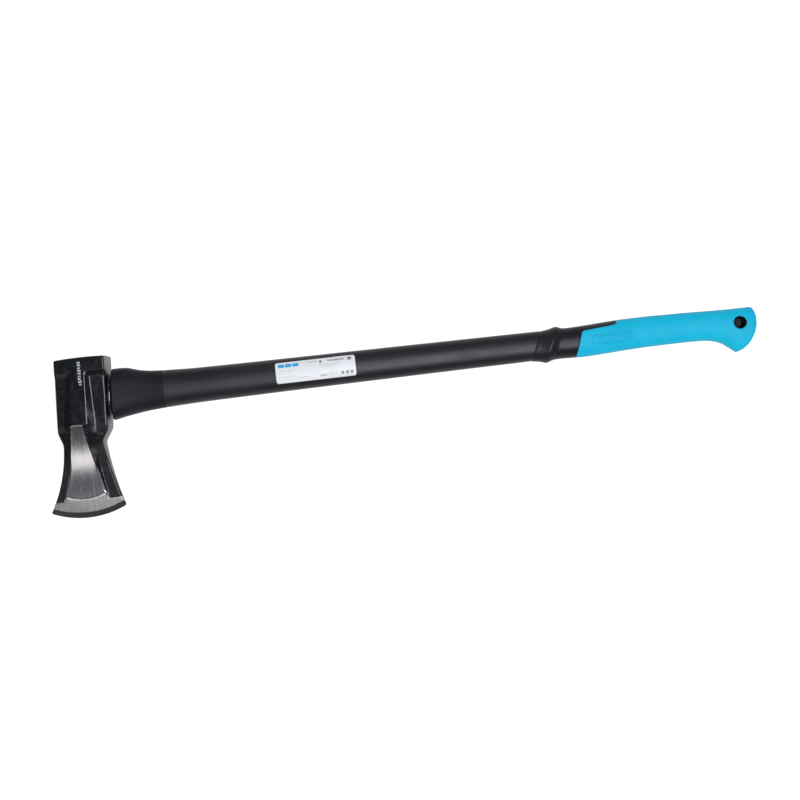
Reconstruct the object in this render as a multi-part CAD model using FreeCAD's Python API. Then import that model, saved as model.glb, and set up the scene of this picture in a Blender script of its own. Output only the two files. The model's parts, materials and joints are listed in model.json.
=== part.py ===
"""Splitting maul, 0.9 m long: a forged steel head on a glass-fibre handle with a soft two-colour grip.

Frame, in millimetres: the maul lies flat on its cheek. The origin is on the cheek that it rests on,
straight below the centre of the head's eye. +X runs along the handle to the butt, +Y towards the poll, so
that the blade points to -Y, and +Z up through the head's thickness. Everything is mirrored about the plane
z = MID_Z.
"""

import math
import os

import FreeCAD
import Part

Vec = FreeCAD.Vector

# ---------------------------------------------------------------- head
HEAD_THICKNESS = 52.0       # across the poll and the splitting rib
MID_Z = HEAD_THICKNESS / 2  # height of the handle's axis and of the mirror plane
POLL_Y = 50.2               # the poll's corners, from the handle's axis
POLL_CROWN = 1.1            # how far the poll's face bulges
BODY_WIDTH = 64.4           # along the handle
BODY_LEAN = math.radians(3.4)   # the body leans away from the grip towards the blade
SHOULDER_Y = -43.0          # where the body ends and the waist begins
WAIST_Y = -58.0
WAIST_WIDTH = 50.5
WAIST_X = -5.4              # middle of the waist
TOE = (-58.0, -143.0)       # far end of the cutting edge
HEEL = (38.3, -142.0)       # end of the cutting edge nearest the grip
EDGE_SAG = 10.4             # how far the cutting edge bows below the line from toe to heel
TOE_FLARE_SAG = 5.0         # hollow of the outline between waist and toe
HEEL_FLARE_SAG = 2.0
SHOULDER_RADIUS = 7.0
CORNER_RADIUS = 3.0         # poll corners, toe and heel
POLL_EDGE_RADIUS = 2.5

RIB_FLAT_END_Y = -34.0      # the rib's cheeks are flat from the poll down to here, then ground hollow
RIB_END_Y = -131.5          # the rib and the recessed panels end here
RIB_END_HALF = 6.0          # half thickness there
RIB_HOLLOW = 2.5            # depth of the hollow grind
PANEL_TOP_Y = 33.0          # the recessed panels begin here
PANEL_DEPTH_FAR = 1.6       # below the rib, beside the eye on its far side
PANEL_DEPTH_GRIP = 4.0      # and on its grip side
PANEL_RUN_OUT = 6.0         # length of the slope at a panel's top
EDGE_CHAMFER = 2.0          # at the panels' outer edges
# (y, x) of the rib's two upper edges, and (y, width) of its sloping walls
RIB_LEFT = ((33.0, -9.0), (-40.0, -17.0), (-90.0, -25.5), (-131.5, -38.5))
RIB_RIGHT = ((33.0, 8.5), (-60.0, 3.8), (-131.5, 18.8))
RIB_WALL = ((33.0, 5.0), (-30.0, 8.5), (-65.0, 8.0), (-90.0, 4.5), (-131.5, 2.0))
# (y, depth below the rib's surface) of the panels from the shoulder down
PANEL_DEPTHS = ((-43.0, 1.3), (-58.0, 2.7), (-82.0, 2.6), (-101.0, 2.3), (-116.0, 2.2), (-130.2, 2.1))
PANEL_END_WALL = 0.2        # the walls' slope at a panel's ends, as a share of the slope beside the eye
CHAMFER_SLOPE = 0.6         # fall of the panels' outer edges

BEVEL_WIDTH = 7.0           # of the sharpened bevel
BEVEL_HALF = 2.7            # half thickness where the bevel begins
EDGE_HALF = 0.25            # half of the edge's blunt land
GRIND_WIDTH = 22.0          # ground zone above the edge

# ---------------------------------------------------------------- eye
EYE_HEIGHT = 42.0           # along Y, at the middle of the eye
EYE_THICKNESS = 25.0        # along Z
EYE_FLARE = 3.0             # how much wider each way the eye is at its far end
EYE_MOUTH_FLARE = 1.0       # and at the mouth that the handle enters
EYE_FLARE_BEYOND = 1.5      # both flares grow by this factor outside the head
RESIN_RECESS = 1.5          # the resin stops this far inside the head's far face
DAM_LENGTH = 5.0

# ---------------------------------------------------------------- handle
GRIP_X = 580.0              # where the grip begins; this sets the handle's length
CORE_HEIGHT = 24.0
CORE_THICKNESS = 12.0
CORE_CORNER = 4.0
CORE_IN_GRIP = 226.0        # how far the core reaches into the grip
TAIL_CAP_WALL = 1.5
TAIL_CAP_LENGTH = 14.0

COLLAR_GAP = 0.5            # between the leaning underside of the head and the collar
COLLAR_LENGTH = 5.8
COLLAR_HEIGHT = 54.0
COLLAR_THICKNESS = 39.0
COLLAR_LIP = 3.5            # the collar is this much smaller at its guard end
LIP_START, LIP_END = 0.45, 0.8  # where along the collar its size steps down

NECK_WALL = (6.0, 5.0)      # of the jacket's neck round the core, along Y and Z
SPIGOT_WALL = (2.5, 3.5)    # of the jacket's spigot inside the grip
SPIGOT_IN_GRIP = 45.0       # how far the spigot reaches into the grip
SHAFT_IN_GRIP = 14.0        # how far the ring's leaning front may cover the shaft

# Sections of the handle's outside: (x, top, bottom, half thickness, squareness). The guard's and the shaft's
# first ones are measured from the middle of the head's underside.
GUARD_SECTIONS = (
    (-0.2, 32.4, -33.3, 23.6, 3.7),
    (7.8, 32.5, -32.1, 23.0, 3.6),
    (16.8, 32.6, -30.3, 21.8, 3.3),
    (25.8, 32.1, -28.9, 20.5, 3.0),
    (34.8, 29.6, -27.6, 19.3, 2.8),
    (45.8, 26.6, -26.1, 18.1, 2.6),
    (57.8, 24.8, -25.1, 17.2, 2.5),
    (71.8, 23.7, -24.2, 16.5, 2.4),
)
SHAFT_WAIST = (117.8, 22.0, -22.6, 15.5, 2.4)
SHAFT_MIDDLE = (337.8, 20.2, -20.2, 14.8, 2.4)
SHAFT_TAIL = (18.3, -18.7, 14.1, 2.4)   # where the shaft meets the grip

# ---------------------------------------------------------------- ring at the front of the grip
RING_TILT = math.radians(20.0)  # the ring leans, so that its top is nearer the butt
RING_LOWER = 0.7                # the ring's middle lies this far below the axis
# (x on the axis, half height across the tilted plane, half thickness). From here on x is measured
# from GRIP_X.
RING_SECTIONS = (
    (0.0, 19.6, 14.2),
    (9.0, 20.9, 15.5),
    (17.0, 23.1, 17.3),
    (20.5, 23.9, 17.9),
    (24.0, 23.1, 17.3),
    (31.0, 20.8, 15.8),
    (38.0, 20.5, 15.5),
)

# ---------------------------------------------------------------- grip
# (x, top, bottom, half thickness, lean in degrees)
GRIP_SECTIONS = (
    (49.0, 18.8, -20.4, 15.6, 12.0),
    (64.0, 19.3, -20.8, 15.9, 4.0),
    (85.0, 20.3, -20.0, 16.2, 0.0),
    (112.0, 21.4, -18.6, 16.0, 0.0),
    (140.0, 21.6, -17.6, 15.5, 0.0),
    (168.0, 21.1, -17.3, 15.2, 0.0),
    (192.0, 20.6, -17.3, 15.2, 0.0),
    (212.0, 19.9, -17.8, 15.4, 0.0),
)
# The butt swells to a hook: (top x, top y, bottom x, bottom y, half thickness)
KNOB_SECTIONS = (
    (232.0, 19.2, 224.0, -19.2, 15.8),
    (251.0, 18.8, 235.0, -22.6, 16.5),
    (268.0, 18.7, 246.0, -29.9, 17.3),
    (282.0, 18.7, 257.0, -39.1, 17.9),
    (304.0, 18.7, 273.0, -52.7, 18.5),
)
KNOB_SQUARENESS = 2.5
BUTT_TOP = (281.2, 18.2)    # the butt's end face is an arc through these three points
BUTT_MIDDLE = (282.8, 0.0)
BUTT_TIP = (255.9, -38.4)
BUTT_EDGE_RADIUS = 3.5
SOFT_WALL = 3.0             # of the soft skin over the grip body
# The soft skin's front edge slants up the side and then runs back along a hard tongue on the grip's back
SOFT_FRONT = (
    (49.0, -24.0),
    (60.0, 8.2),
    (64.5, 12.9),
    (71.5, 13.2),
    (98.0, 15.0),
    (105.0, 17.5),
    (106.0, 60.0),
)
BADGE_X = (73.0, 123.0)     # raised badge on each side of the grip
BADGE_Y = (-7.5, 5.0)
BADGE_RAISE = 0.6
BADGE_FRAME = 1.6
BADGE_CORNER = 3.0
BADGE_BAR = (35.0, 2.5)     # length and height of the two plain bars in the badge
BADGE_BAR_Y = 2.25          # their distance from the badge's middle

HANG_AT = (261.5, 0.0)      # centre of the hanging hole
HANG_RADIUS = 6.2
BUSH_WALL = 2.1
BUSH_WEB = 1.6              # thickness of the web that closes the hole halfway

# ---------------------------------------------------------------- label and mark
LABEL_X = (248.0, 350.0)
LABEL_Y = (-11.0, 15.2)
LABEL_CORNER = 3.0
LABEL_THICKNESS = 0.2
MARK_X = 2.0                # column of plain bars printed on the upper cheek
MARK_Y = (15.5, 46.5)
MARK_WIDTH = 5.0
MARK_BARS = 9
MARK_BAR_SHARE = 0.62       # of the bars' pitch
MARK_THICKNESS = 0.12

SECTION_POINTS = 24         # points on one oval section
SQUARENESS = 2.4            # power of the ovals where nothing else is given
BEYOND = 30.0               # how far cutting bodies run past what they cut
SLIVER = 0.01


# ---------------------------------------------------------------- helpers
def between(table, y):
    """Straight-line value at y in a table of (y, value), listed from the poll down."""
    for (y0, v0), (y1, v1) in zip(table, table[1:]):
        if y >= y1:
            return v0 + (v1 - v0) * (y - y0) / (y1 - y0)
    return table[-1][1]


def oval(centre, up, half_height, half_thickness, squareness=SQUARENESS):
    """Closed smooth wire round centre: a superellipse in the plane of up and Z."""
    power = 2.0 / squareness
    points = []
    for i in range(SECTION_POINTS):
        angle = 2 * math.pi * i / SECTION_POINTS
        c, s = math.cos(angle), math.sin(angle)
        h = half_height * math.copysign(abs(c) ** power, c)
        t = half_thickness * math.copysign(abs(s) ** power, s)
        points.append(centre + up * h + Vec(0, 0, t))
    curve = Part.BSplineCurve()
    curve.interpolate(points, PeriodicFlag=True)
    return Part.Wire([curve.toShape()])


def upright_oval(x, top, bottom, half_thickness, squareness, grow=0.0):
    """Section across the handle at x, from bottom to top, grown all round."""
    centre = Vec(x, (top + bottom) / 2, MID_Z)
    return oval(centre, Vec(0, 1, 0), (top - bottom) / 2 + grow, half_thickness + grow, squareness)


def leaning_oval(top, bottom, half_thickness, squareness, grow=0.0):
    """Section between a top and a bottom point, which may be at different x."""
    a, b = Vec(*top, MID_Z), Vec(*bottom, MID_Z)
    up = (a - b).normalize()
    return oval((a + b) * 0.5, up, (a - b).Length / 2 + grow, half_thickness + grow, squareness)


def loft(wires, ruled=False):
    return Part.makeLoft(wires, True, ruled)


def bar(x0, x1, height, thickness, corner):
    """Straight bar of rounded rectangular section on the handle's axis."""
    box = Part.makeBox(x1 - x0, height, thickness, Vec(x0, -height / 2, MID_Z - thickness / 2))
    long_edges = [e for e in box.Edges if abs(e.tangentAt(e.FirstParameter).x) > 0.99]
    return box.makeFillet(corner, long_edges)


def prism(points, z0, z1):
    """Upright prism on a polygon of (x, y) points."""
    wire = Part.makePolygon([Vec(x, y, z0) for x, y in points + points[:1]])
    return Part.Face(wire).extrude(Vec(0, 0, z1 - z0))


def rounded_window(x_range, y_range, corner, z0, z1):
    """Upright prism on a rectangle with rounded corners."""
    (x0, x1), (y0, y1) = x_range, y_range
    box = Part.makeBox(x1 - x0, y1 - y0, z1 - z0, Vec(x0, y0, z0))
    return box.makeFillet(corner, upright_edges(box))


def upright_edges(shape):
    return [e for e in shape.Edges if abs(e.tangentAt(e.FirstParameter).z) > 0.99]


def mirrored(shape):
    """The same shape on the other cheek."""
    return shape.mirror(Vec(0, 0, MID_Z), Vec(0, 0, 1))


def arc_edge(start, middle, end):
    """Circular edge through three points; its Curve is the circle."""
    return Part.Arc(start, middle, end).toShape()


def sagged_arc(start, end, sag):
    """Arc from start to end that bulges to the left of its direction by sag."""
    a, b = Vec(*start, 0), Vec(*end, 0)
    along = b - a
    left = Vec(-along.y, along.x, 0).normalize()
    return arc_edge(a, (a + b) * 0.5 + left * sag, b)


# ---------------------------------------------------------------- head
def body_x(side, y):
    """x of the body's far face (side -1) or underside (side +1) at height y."""
    return side * BODY_WIDTH / 2 + math.tan(BODY_LEAN) * y


def waist_point(side):
    return (WAIST_X + side * WAIST_WIDTH / 2, WAIST_Y)


def outline_x(side, y):
    """x of the head's outline, with the flares taken as straight."""
    end = TOE if side < 0 else HEEL
    waist = waist_point(side)
    table = (
        (POLL_Y, body_x(side, POLL_Y)),
        (SHOULDER_Y, body_x(side, SHOULDER_Y)),
        (WAIST_Y, waist[0]),
        (end[1], end[0]),
    )
    return between(table, y)


def edge_arc():
    """The cutting edge, from toe to heel."""
    return sagged_arc(TOE, HEEL, -EDGE_SAG)


def head_prism():
    """The head's side outline at full thickness, with its upright corners rounded."""
    poll = [(body_x(s, POLL_Y), POLL_Y) for s in (-1, 1)]
    shoulder = [(body_x(s, SHOULDER_Y), SHOULDER_Y) for s in (-1, 1)]
    waist = [waist_point(s) for s in (-1, 1)]

    def line(a, b):
        return Part.LineSegment(Vec(*a, 0), Vec(*b, 0)).toShape()

    edges = [
        sagged_arc(poll[0], poll[1], POLL_CROWN),
        line(poll[1], shoulder[1]),
        line(shoulder[1], waist[1]),
        sagged_arc(waist[1], HEEL, -HEEL_FLARE_SAG),
        edge_arc(),
        sagged_arc(TOE, waist[0], -TOE_FLARE_SAG),
        line(waist[0], shoulder[0]),
        line(shoulder[0], poll[0]),
    ]
    face = Part.Face(Part.Wire(Part.__sortEdges__(edges)))
    solid = face.extrude(Vec(0, 0, HEAD_THICKNESS))

    def corners(points):
        return [
            e for e in upright_edges(solid)
            if any(math.hypot(e.Vertexes[0].X - x, e.Vertexes[0].Y - y) < 0.1 for x, y in points)
        ]

    solid = solid.makeFillet(CORNER_RADIUS, corners(poll + [TOE, HEEL]))
    solid = solid.makeFillet(SHOULDER_RADIUS, corners(shoulder + waist))
    poll_edges = [
        e for e in solid.Edges
        if e.BoundBox.YMin > POLL_Y - CORNER_RADIUS - 0.5 and e.BoundBox.ZLength < 0.01
    ]
    return solid.makeFillet(POLL_EDGE_RADIUS, poll_edges)


def wedge_slab():
    """Profile of the rib and the ground blade, seen along the handle, as wide as needed."""
    half = MID_Z
    reach = 2 * BODY_WIDTH

    def p(y, h):
        return Vec(-reach, y, MID_Z + h)

    middle_y = (RIB_FLAT_END_Y + RIB_END_Y) / 2
    middle_half = (half + RIB_END_HALF) / 2 - RIB_HOLLOW
    end_y = TOE[1] - BEYOND
    edges = []
    for sign in (1, -1):
        edges += [
            Part.LineSegment(p(POLL_Y + BEYOND, sign * half), p(RIB_FLAT_END_Y, sign * half)).toShape(),
            arc_edge(
                p(RIB_FLAT_END_Y, sign * half),
                p(middle_y, sign * middle_half),
                p(RIB_END_Y, sign * RIB_END_HALF),
            ),
            Part.LineSegment(p(RIB_END_Y, sign * RIB_END_HALF), p(end_y, sign * EDGE_HALF)).toShape(),
        ]
    edges.append(Part.LineSegment(p(POLL_Y + BEYOND, half), p(POLL_Y + BEYOND, -half)).toShape())
    edges.append(Part.LineSegment(p(end_y, EDGE_HALF), p(end_y, -EDGE_HALF)).toShape())
    return Part.Face(Part.Wire(Part.__sortEdges__(edges))).extrude(Vec(2 * reach, 0, 0))


def rib_half(y):
    """Half thickness of the rib at height y, on the hollow's arc."""
    if y >= RIB_FLAT_END_Y:
        return MID_Z
    share = (RIB_FLAT_END_Y - y) / (RIB_FLAT_END_Y - RIB_END_Y)
    straight = MID_Z + (RIB_END_HALF - MID_Z) * share
    return straight - 4 * RIB_HOLLOW * share * (1 - share)


def panel_half(side, y):
    """Half thickness of a panel's floor at height y."""
    beside_eye = MID_Z - (PANEL_DEPTH_FAR if side < 0 else PANEL_DEPTH_GRIP)
    if y > SHOULDER_Y:
        return beside_eye
    return min(beside_eye, rib_half(y) - between(PANEL_DEPTHS, y))


def panel_cutter(side):
    """Takes the recessed panel out of the upper cheek on one side of the rib."""
    upper_edge = RIB_LEFT if side < 0 else RIB_RIGHT
    above = MID_Z + BEYOND
    outside = side * (BODY_WIDTH + BEYOND)
    floor_ys = [PANEL_TOP_Y - PANEL_RUN_OUT] + [y for y, _ in PANEL_DEPTHS]
    stations = [(PANEL_TOP_Y, 0.0)] + [(y, None) for y in floor_ys] + [(RIB_END_Y, 0.0)]
    wires = []
    for y, depth in stations:
        top = rib_half(y)
        floor = panel_half(side, y) if depth is None else top
        rim_x = between(upper_edge, y)
        wall = between(RIB_WALL, y)
        foot_x = rim_x + side * wall * (1.0 if depth is None else PANEL_END_WALL)
        bend_x = outline_x(side, y) - side * EDGE_CHAMFER
        drop = abs(outside - bend_x) * CHAMFER_SLOPE
        points = [
            Vec(rim_x, y, MID_Z + above),
            Vec(rim_x, y, MID_Z + top + SLIVER),
            Vec(foot_x, y, MID_Z + floor),
            Vec(bend_x, y, MID_Z + floor),
            Vec(outside, y, MID_Z + floor - drop),
            Vec(outside, y, MID_Z + above),
        ]
        wires.append(Part.makePolygon(points + points[:1]))
    return loft(wires, ruled=True)


def edge_lens():
    """Round body that grinds the blade along the bowed cutting edge, and a block above its centre."""
    circle = edge_arc().Curve
    centre, radius = circle.Center, circle.Radius
    inner = radius - GRIND_WIDTH
    half_profile = [
        (0.0, MID_Z + BEYOND),
        (inner - GRIND_WIDTH, MID_Z + BEYOND),
        (inner, RIB_END_HALF),
        (radius - BEVEL_WIDTH, BEVEL_HALF),
        (radius + EDGE_HALF, EDGE_HALF / 2),
    ]
    upper = [Vec(centre.x + r, centre.y, MID_Z + h) for r, h in half_profile]
    lower = [Vec(centre.x + r, centre.y, MID_Z - h) for r, h in reversed(half_profile)]
    face = Part.Face(Part.makePolygon(upper + lower + upper[:1]))
    lower_half = face.revolve(Vec(centre.x, centre.y, 0), Vec(0, 0, 1), -180)
    block = Part.makeBox(
        2 * BODY_WIDTH, POLL_Y + BEYOND - centre.y, 2 * MID_Z, Vec(centre.x - BODY_WIDTH, centre.y, 0))
    return lower_half.fuse(block)


def eye_space():
    """The eye's hourglass hollow, from past the far face to past the mouth."""
    far, mouth = -BODY_WIDTH / 2, BODY_WIDTH / 2
    reach = BEYOND / 2
    return loft([
        oval(Vec(x, 0, MID_Z), Vec(0, 1, 0), EYE_HEIGHT / 2 + flare, EYE_THICKNESS / 2 + flare)
        for x, flare in (
            (far - reach, EYE_FLARE * EYE_FLARE_BEYOND),
            (far, EYE_FLARE),
            (0.0, 0.0),
            (mouth, EYE_MOUTH_FLARE),
            (mouth + reach, EYE_MOUTH_FLARE * EYE_FLARE_BEYOND),
        )
    ])


def eye_slice(x0, x1):
    """The part of the eye's hollow from x0 to x1."""
    size = 2 * EYE_HEIGHT
    return eye_space().common(Part.makeBox(x1 - x0, size, size, Vec(x0, -size / 2, MID_Z - size / 2)))


def maul_head():
    shape = head_prism().common(wedge_slab()).common(edge_lens())
    for side in (-1, 1):
        cutter = panel_cutter(side)
        shape = shape.cut(cutter).cut(mirrored(cutter))
    return shape.cut(eye_space()).removeSplitter()


def head_inner_ends():
    """x of the head's far face and underside at the edge of the eye where each is furthest in."""
    reach = math.tan(BODY_LEAN) * (EYE_HEIGHT / 2 + EYE_FLARE)
    return -BODY_WIDTH / 2 + reach, BODY_WIDTH / 2 - reach


# ---------------------------------------------------------------- what fills the eye
def core_rod():
    far = head_inner_ends()[0]
    return bar(far + RESIN_RECESS, GRIP_X + CORE_IN_GRIP, CORE_HEIGHT, CORE_THICKNESS, CORE_CORNER)


def resin_dam():
    mouth = head_inner_ends()[1]
    return eye_slice(mouth - DAM_LENGTH, mouth).cut(core_rod())


def eye_resin():
    far, mouth = head_inner_ends()
    return eye_slice(far + RESIN_RECESS, mouth - DAM_LENGTH).cut(core_rod())


# ---------------------------------------------------------------- collar, guard and shaft
def collar_start():
    """The collar clears the head's underside where that leans furthest towards the grip."""
    return body_x(1, COLLAR_HEIGHT / 2) + COLLAR_GAP


def from_underside(section):
    """A section whose x is measured from the head's underside, with its x in the maul's frame."""
    return (BODY_WIDTH / 2 + section[0],) + section[1:]


def guard_end():
    """x where the guard ends and the bare shaft begins."""
    return from_underside(GUARD_SECTIONS[-1])[0]


def round_core(x0, x1, wall):
    """Straight oval tube's outside, with the given walls round the core along Y and Z."""
    half_height, half_thickness = CORE_HEIGHT / 2 + wall[0], CORE_THICKNESS / 2 + wall[1]
    return loft([oval(Vec(x, 0, MID_Z), Vec(0, 1, 0), half_height, half_thickness) for x in (x0, x1)])


def beyond_underside(gap):
    """Everything on the grip's side of a plane that lies gap away from the head's leaning underside."""
    reach = 2 * BODY_WIDTH
    plane = [(body_x(1, y) + gap, y) for y in (-reach, reach)]
    return prism(plane + [(4 * reach, reach), (4 * reach, -reach)], -BEYOND, HEAD_THICKNESS + BEYOND)


def neck_passage():
    """Straight passage for the jacket's neck, longer than all that sits on it."""
    return round_core(0.0, guard_end() + BEYOND, NECK_WALL)


def eye_collar():
    """Oval seat that fills the gap between the head's leaning underside and the guard."""
    x0 = body_x(1, 0) + COLLAR_GAP
    step = COLLAR_LIP / 2
    sections = [
        (x0 + COLLAR_LENGTH * share, grow)
        for share, grow in ((-1.0, 0.0), (LIP_START, 0.0), (LIP_END, -step), (2.0, -step))
    ]
    shape = loft([
        oval(Vec(x, 0, MID_Z), Vec(math.tan(BODY_LEAN), 1, 0).normalize(),
             COLLAR_HEIGHT / 2 + grow, COLLAR_THICKNESS / 2 + grow)
        for x, grow in sections
    ], ruled=True)
    shape = shape.common(beyond_underside(COLLAR_GAP)).cut(beyond_underside(COLLAR_GAP + COLLAR_LENGTH))
    return shape.cut(neck_passage())


def strike_guard():
    """Thick sleeve with a hump on the poll side; its end face leans like the head's underside."""
    shape = loft([upright_oval(*from_underside(s)) for s in GUARD_SECTIONS])
    return shape.common(beyond_underside(COLLAR_GAP + COLLAR_LENGTH)).cut(neck_passage())


def shaft_outside(grow=0.0):
    sections = [from_underside(s) for s in (GUARD_SECTIONS[-1], SHAFT_WAIST, SHAFT_MIDDLE)]
    sections.append((GRIP_X + SHAFT_IN_GRIP,) + SHAFT_TAIL)
    return loft([upright_oval(*s, grow=grow) for s in sections])


def spigot():
    return round_core(GRIP_X - SHAFT_IN_GRIP, GRIP_X + SPIGOT_IN_GRIP, SPIGOT_WALL)


def shaft_jacket():
    neck = round_core(collar_start(), guard_end(), NECK_WALL)
    outside = shaft_outside().cut(ring_front_space())
    return neck.fuse(outside).fuse(spigot()).cut(core_rod()).removeSplitter()


# ---------------------------------------------------------------- grip
def in_grip(points):
    """Points (x, y) measured from the grip's front, in the maul's frame."""
    return [(GRIP_X + x, y) for x, y in points]


def ring_wires():
    up = Vec(math.sin(RING_TILT), math.cos(RING_TILT), 0)
    return [oval(Vec(GRIP_X + x, -RING_LOWER, MID_Z), up, half, thick) for x, half, thick in RING_SECTIONS]


def ring_front_space():
    """All that lies behind the ring's leaning front plane."""
    reach = 2 * BEYOND
    plane = [(math.tan(RING_TILT) * (y + RING_LOWER), y) for y in (-reach, reach)]
    end = BUTT_TOP[0] + BEYOND
    outline = in_grip(plane + [(end, reach), (end, -reach)])
    return prism(outline, -BEYOND, HEAD_THICKNESS + BEYOND)


def grip_wires(grow=0.0):
    """Sections of the grip behind its ring."""
    wires = []
    for x, top, bottom, half, lean in GRIP_SECTIONS:
        shift = math.tan(math.radians(lean))
        ends = in_grip([(x + shift * top, top), (x + shift * bottom, bottom)])
        wires.append(leaning_oval(*ends, half, SQUARENESS, grow))
    for tx, ty, bx, by, half in KNOB_SECTIONS:
        wires.append(leaning_oval(*in_grip([(tx, ty), (bx, by)]), half, KNOB_SQUARENESS, grow))
    return wires


def butt_limit(inset=0.0):
    """Everything in front of the butt's end face, moved in by inset."""
    circle = arc_edge(*[Vec(*p, 0) for p in in_grip([BUTT_TOP, BUTT_MIDDLE, BUTT_TIP])]).Curve
    centre, height = circle.Center, HEAD_THICKNESS + 2 * BEYOND
    disc = Part.makeCylinder(circle.Radius - inset, height, Vec(centre.x, centre.y, -BEYOND))
    front_x = GRIP_X - BEYOND
    front = Part.makeBox(
        centre.x - front_x, 4 * BEYOND, height, Vec(front_x, centre.y - 2 * BEYOND, -BEYOND))
    return disc.fuse(front)


def grip_outside():
    """The grip's outer shape, from the ring to the rounded butt."""
    ring = ring_wires()
    shape = loft(ring).fuse(loft(ring[-1:] + grip_wires())).common(butt_limit())
    rim_start = GRIP_X + BUTT_TIP[0] - SOFT_WALL * 4
    rim = [
        e for e in shape.Edges
        if e.BoundBox.XMin > rim_start and e.BoundBox.ZLength > SOFT_WALL
    ]
    return shape.makeFillet(BUTT_EDGE_RADIUS, rim)


def grip_inside():
    """The hard body under the soft skin."""
    return loft(grip_wires(-SOFT_WALL)).common(butt_limit(SOFT_WALL))


def hard_zone():
    """Side outline of what stays hard plastic on the outside: the neck and the tongue."""
    low, high = -2 * BEYOND, SOFT_FRONT[-1][1]
    outline = [(-BEYOND, high), (-BEYOND, low), (SOFT_FRONT[0][0], low)] + list(SOFT_FRONT)
    return prism(in_grip(outline), -BEYOND, HEAD_THICKNESS + BEYOND)


def hang_cylinder(radius):
    foot = Vec(GRIP_X + HANG_AT[0], HANG_AT[1], -BEYOND)
    return Part.makeCylinder(radius, HEAD_THICKNESS + 2 * BEYOND, foot)


def tail_cap_space():
    end = GRIP_X + CORE_IN_GRIP + TAIL_CAP_WALL
    return bar(
        end - TAIL_CAP_LENGTH, end,
        CORE_HEIGHT + 2 * TAIL_CAP_WALL, CORE_THICKNESS + 2 * TAIL_CAP_WALL, CORE_CORNER + TAIL_CAP_WALL,
    )


def core_tail_cap():
    return tail_cap_space().cut(core_rod())


def grip_body(outside):
    shape = grip_inside().fuse(outside.common(hard_zone()))
    shape = shape.cut(core_rod()).cut(spigot()).cut(tail_cap_space())
    return shape.cut(hang_cylinder(HANG_RADIUS + BUSH_WALL))


def badge(outside_loft):
    """A raised frame with two plain bars, on the upper side."""
    top = HEAD_THICKNESS + BEYOND
    (x0, x1), (y0, y1) = [GRIP_X + x for x in BADGE_X], BADGE_Y
    frame = rounded_window((x0, x1), (y0, y1), BADGE_CORNER, MID_Z, top)
    inner = rounded_window(
        (x0 + BADGE_FRAME, x1 - BADGE_FRAME), (y0 + BADGE_FRAME, y1 - BADGE_FRAME),
        BADGE_CORNER - BADGE_FRAME, MID_Z, top,
    )
    shape = frame.cut(inner)
    length, height = BADGE_BAR
    for side in (-1, 1):
        corner = Vec((x0 + x1 - length) / 2, (y0 + y1 - height) / 2 + side * BADGE_BAR_Y, MID_Z)
        shape = shape.fuse(Part.makeBox(length, height, top - MID_Z, corner))
    return shape.common(outside_loft)


def soft_grip(outside):
    skin = outside.cut(grip_inside()).cut(hard_zone()).cut(tail_cap_space())
    plate = badge(loft(grip_wires(BADGE_RAISE))).cut(grip_inside())
    for piece in (plate, mirrored(plate)):
        skin = skin.fuse(piece)
    return skin.cut(hang_cylinder(HANG_RADIUS + BUSH_WALL))


def hang_bush(outside):
    """Lining of the hanging hole, flush with the grip on both sides and closed by a web in the middle."""
    size = 2 * BEYOND
    slab = Part.makeBox(size, size, BUSH_WEB, Vec(
        GRIP_X + HANG_AT[0] - BEYOND, HANG_AT[1] - BEYOND, MID_Z - BUSH_WEB / 2))
    return hang_cylinder(HANG_RADIUS + BUSH_WALL).common(outside).cut(hang_cylinder(HANG_RADIUS).cut(slab))


# ---------------------------------------------------------------- label and mark
def shaft_label():
    window = rounded_window(LABEL_X, LABEL_Y, LABEL_CORNER, MID_Z, HEAD_THICKNESS + BEYOND)
    return shaft_outside(LABEL_THICKNESS).cut(shaft_outside()).common(window)


def cheek_mark():
    pitch = (MARK_Y[1] - MARK_Y[0]) / MARK_BARS
    bars = [
        Part.makeBox(MARK_WIDTH, pitch * MARK_BAR_SHARE, MARK_THICKNESS,
                     Vec(MARK_X - MARK_WIDTH / 2, MARK_Y[0] + pitch * i, HEAD_THICKNESS))
        for i in range(MARK_BARS)
    ]
    return Part.makeCompound(bars)


def main():
    os.makedirs("parts", exist_ok=True)
    outside = grip_outside()
    nodes = {
        "maul_head": maul_head(),
        "eye_resin": eye_resin(),
        "resin_dam": resin_dam(),
        "core_rod": core_rod(),
        "core_tail_cap": core_tail_cap(),
        "eye_collar": eye_collar(),
        "strike_guard": strike_guard(),
        "shaft_jacket": shaft_jacket(),
        "grip_body": grip_body(outside),
        "soft_grip": soft_grip(outside),
        "hang_bush": hang_bush(outside),
        "shaft_label": shaft_label(),
        "cheek_mark": cheek_mark(),
    }
    for name, shape in nodes.items():
        shape.exportStep(os.path.join("parts", name + ".step"))
        volume = shape.Volume / 1000
        print(f"{name:14s} solids {len(shape.Solids)} valid {shape.isValid()} {volume:9.2f} cm3")


main()
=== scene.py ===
"""Looks of the splitting maul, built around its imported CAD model.

The maul lies flat on its cheek: +X runs along the handle to the butt, +Y towards the poll, +Z up.
Shapes are worked out in millimetres in that frame, as numpy arrays, and become metres when a mesh is
made. The handle is a surface over oval sections. The head is a height field over its side outline,
mirrored to the other cheek.
"""

import json
import math

import bmesh
import bpy
import numpy as np
from mathutils import Matrix, Vector


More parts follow.
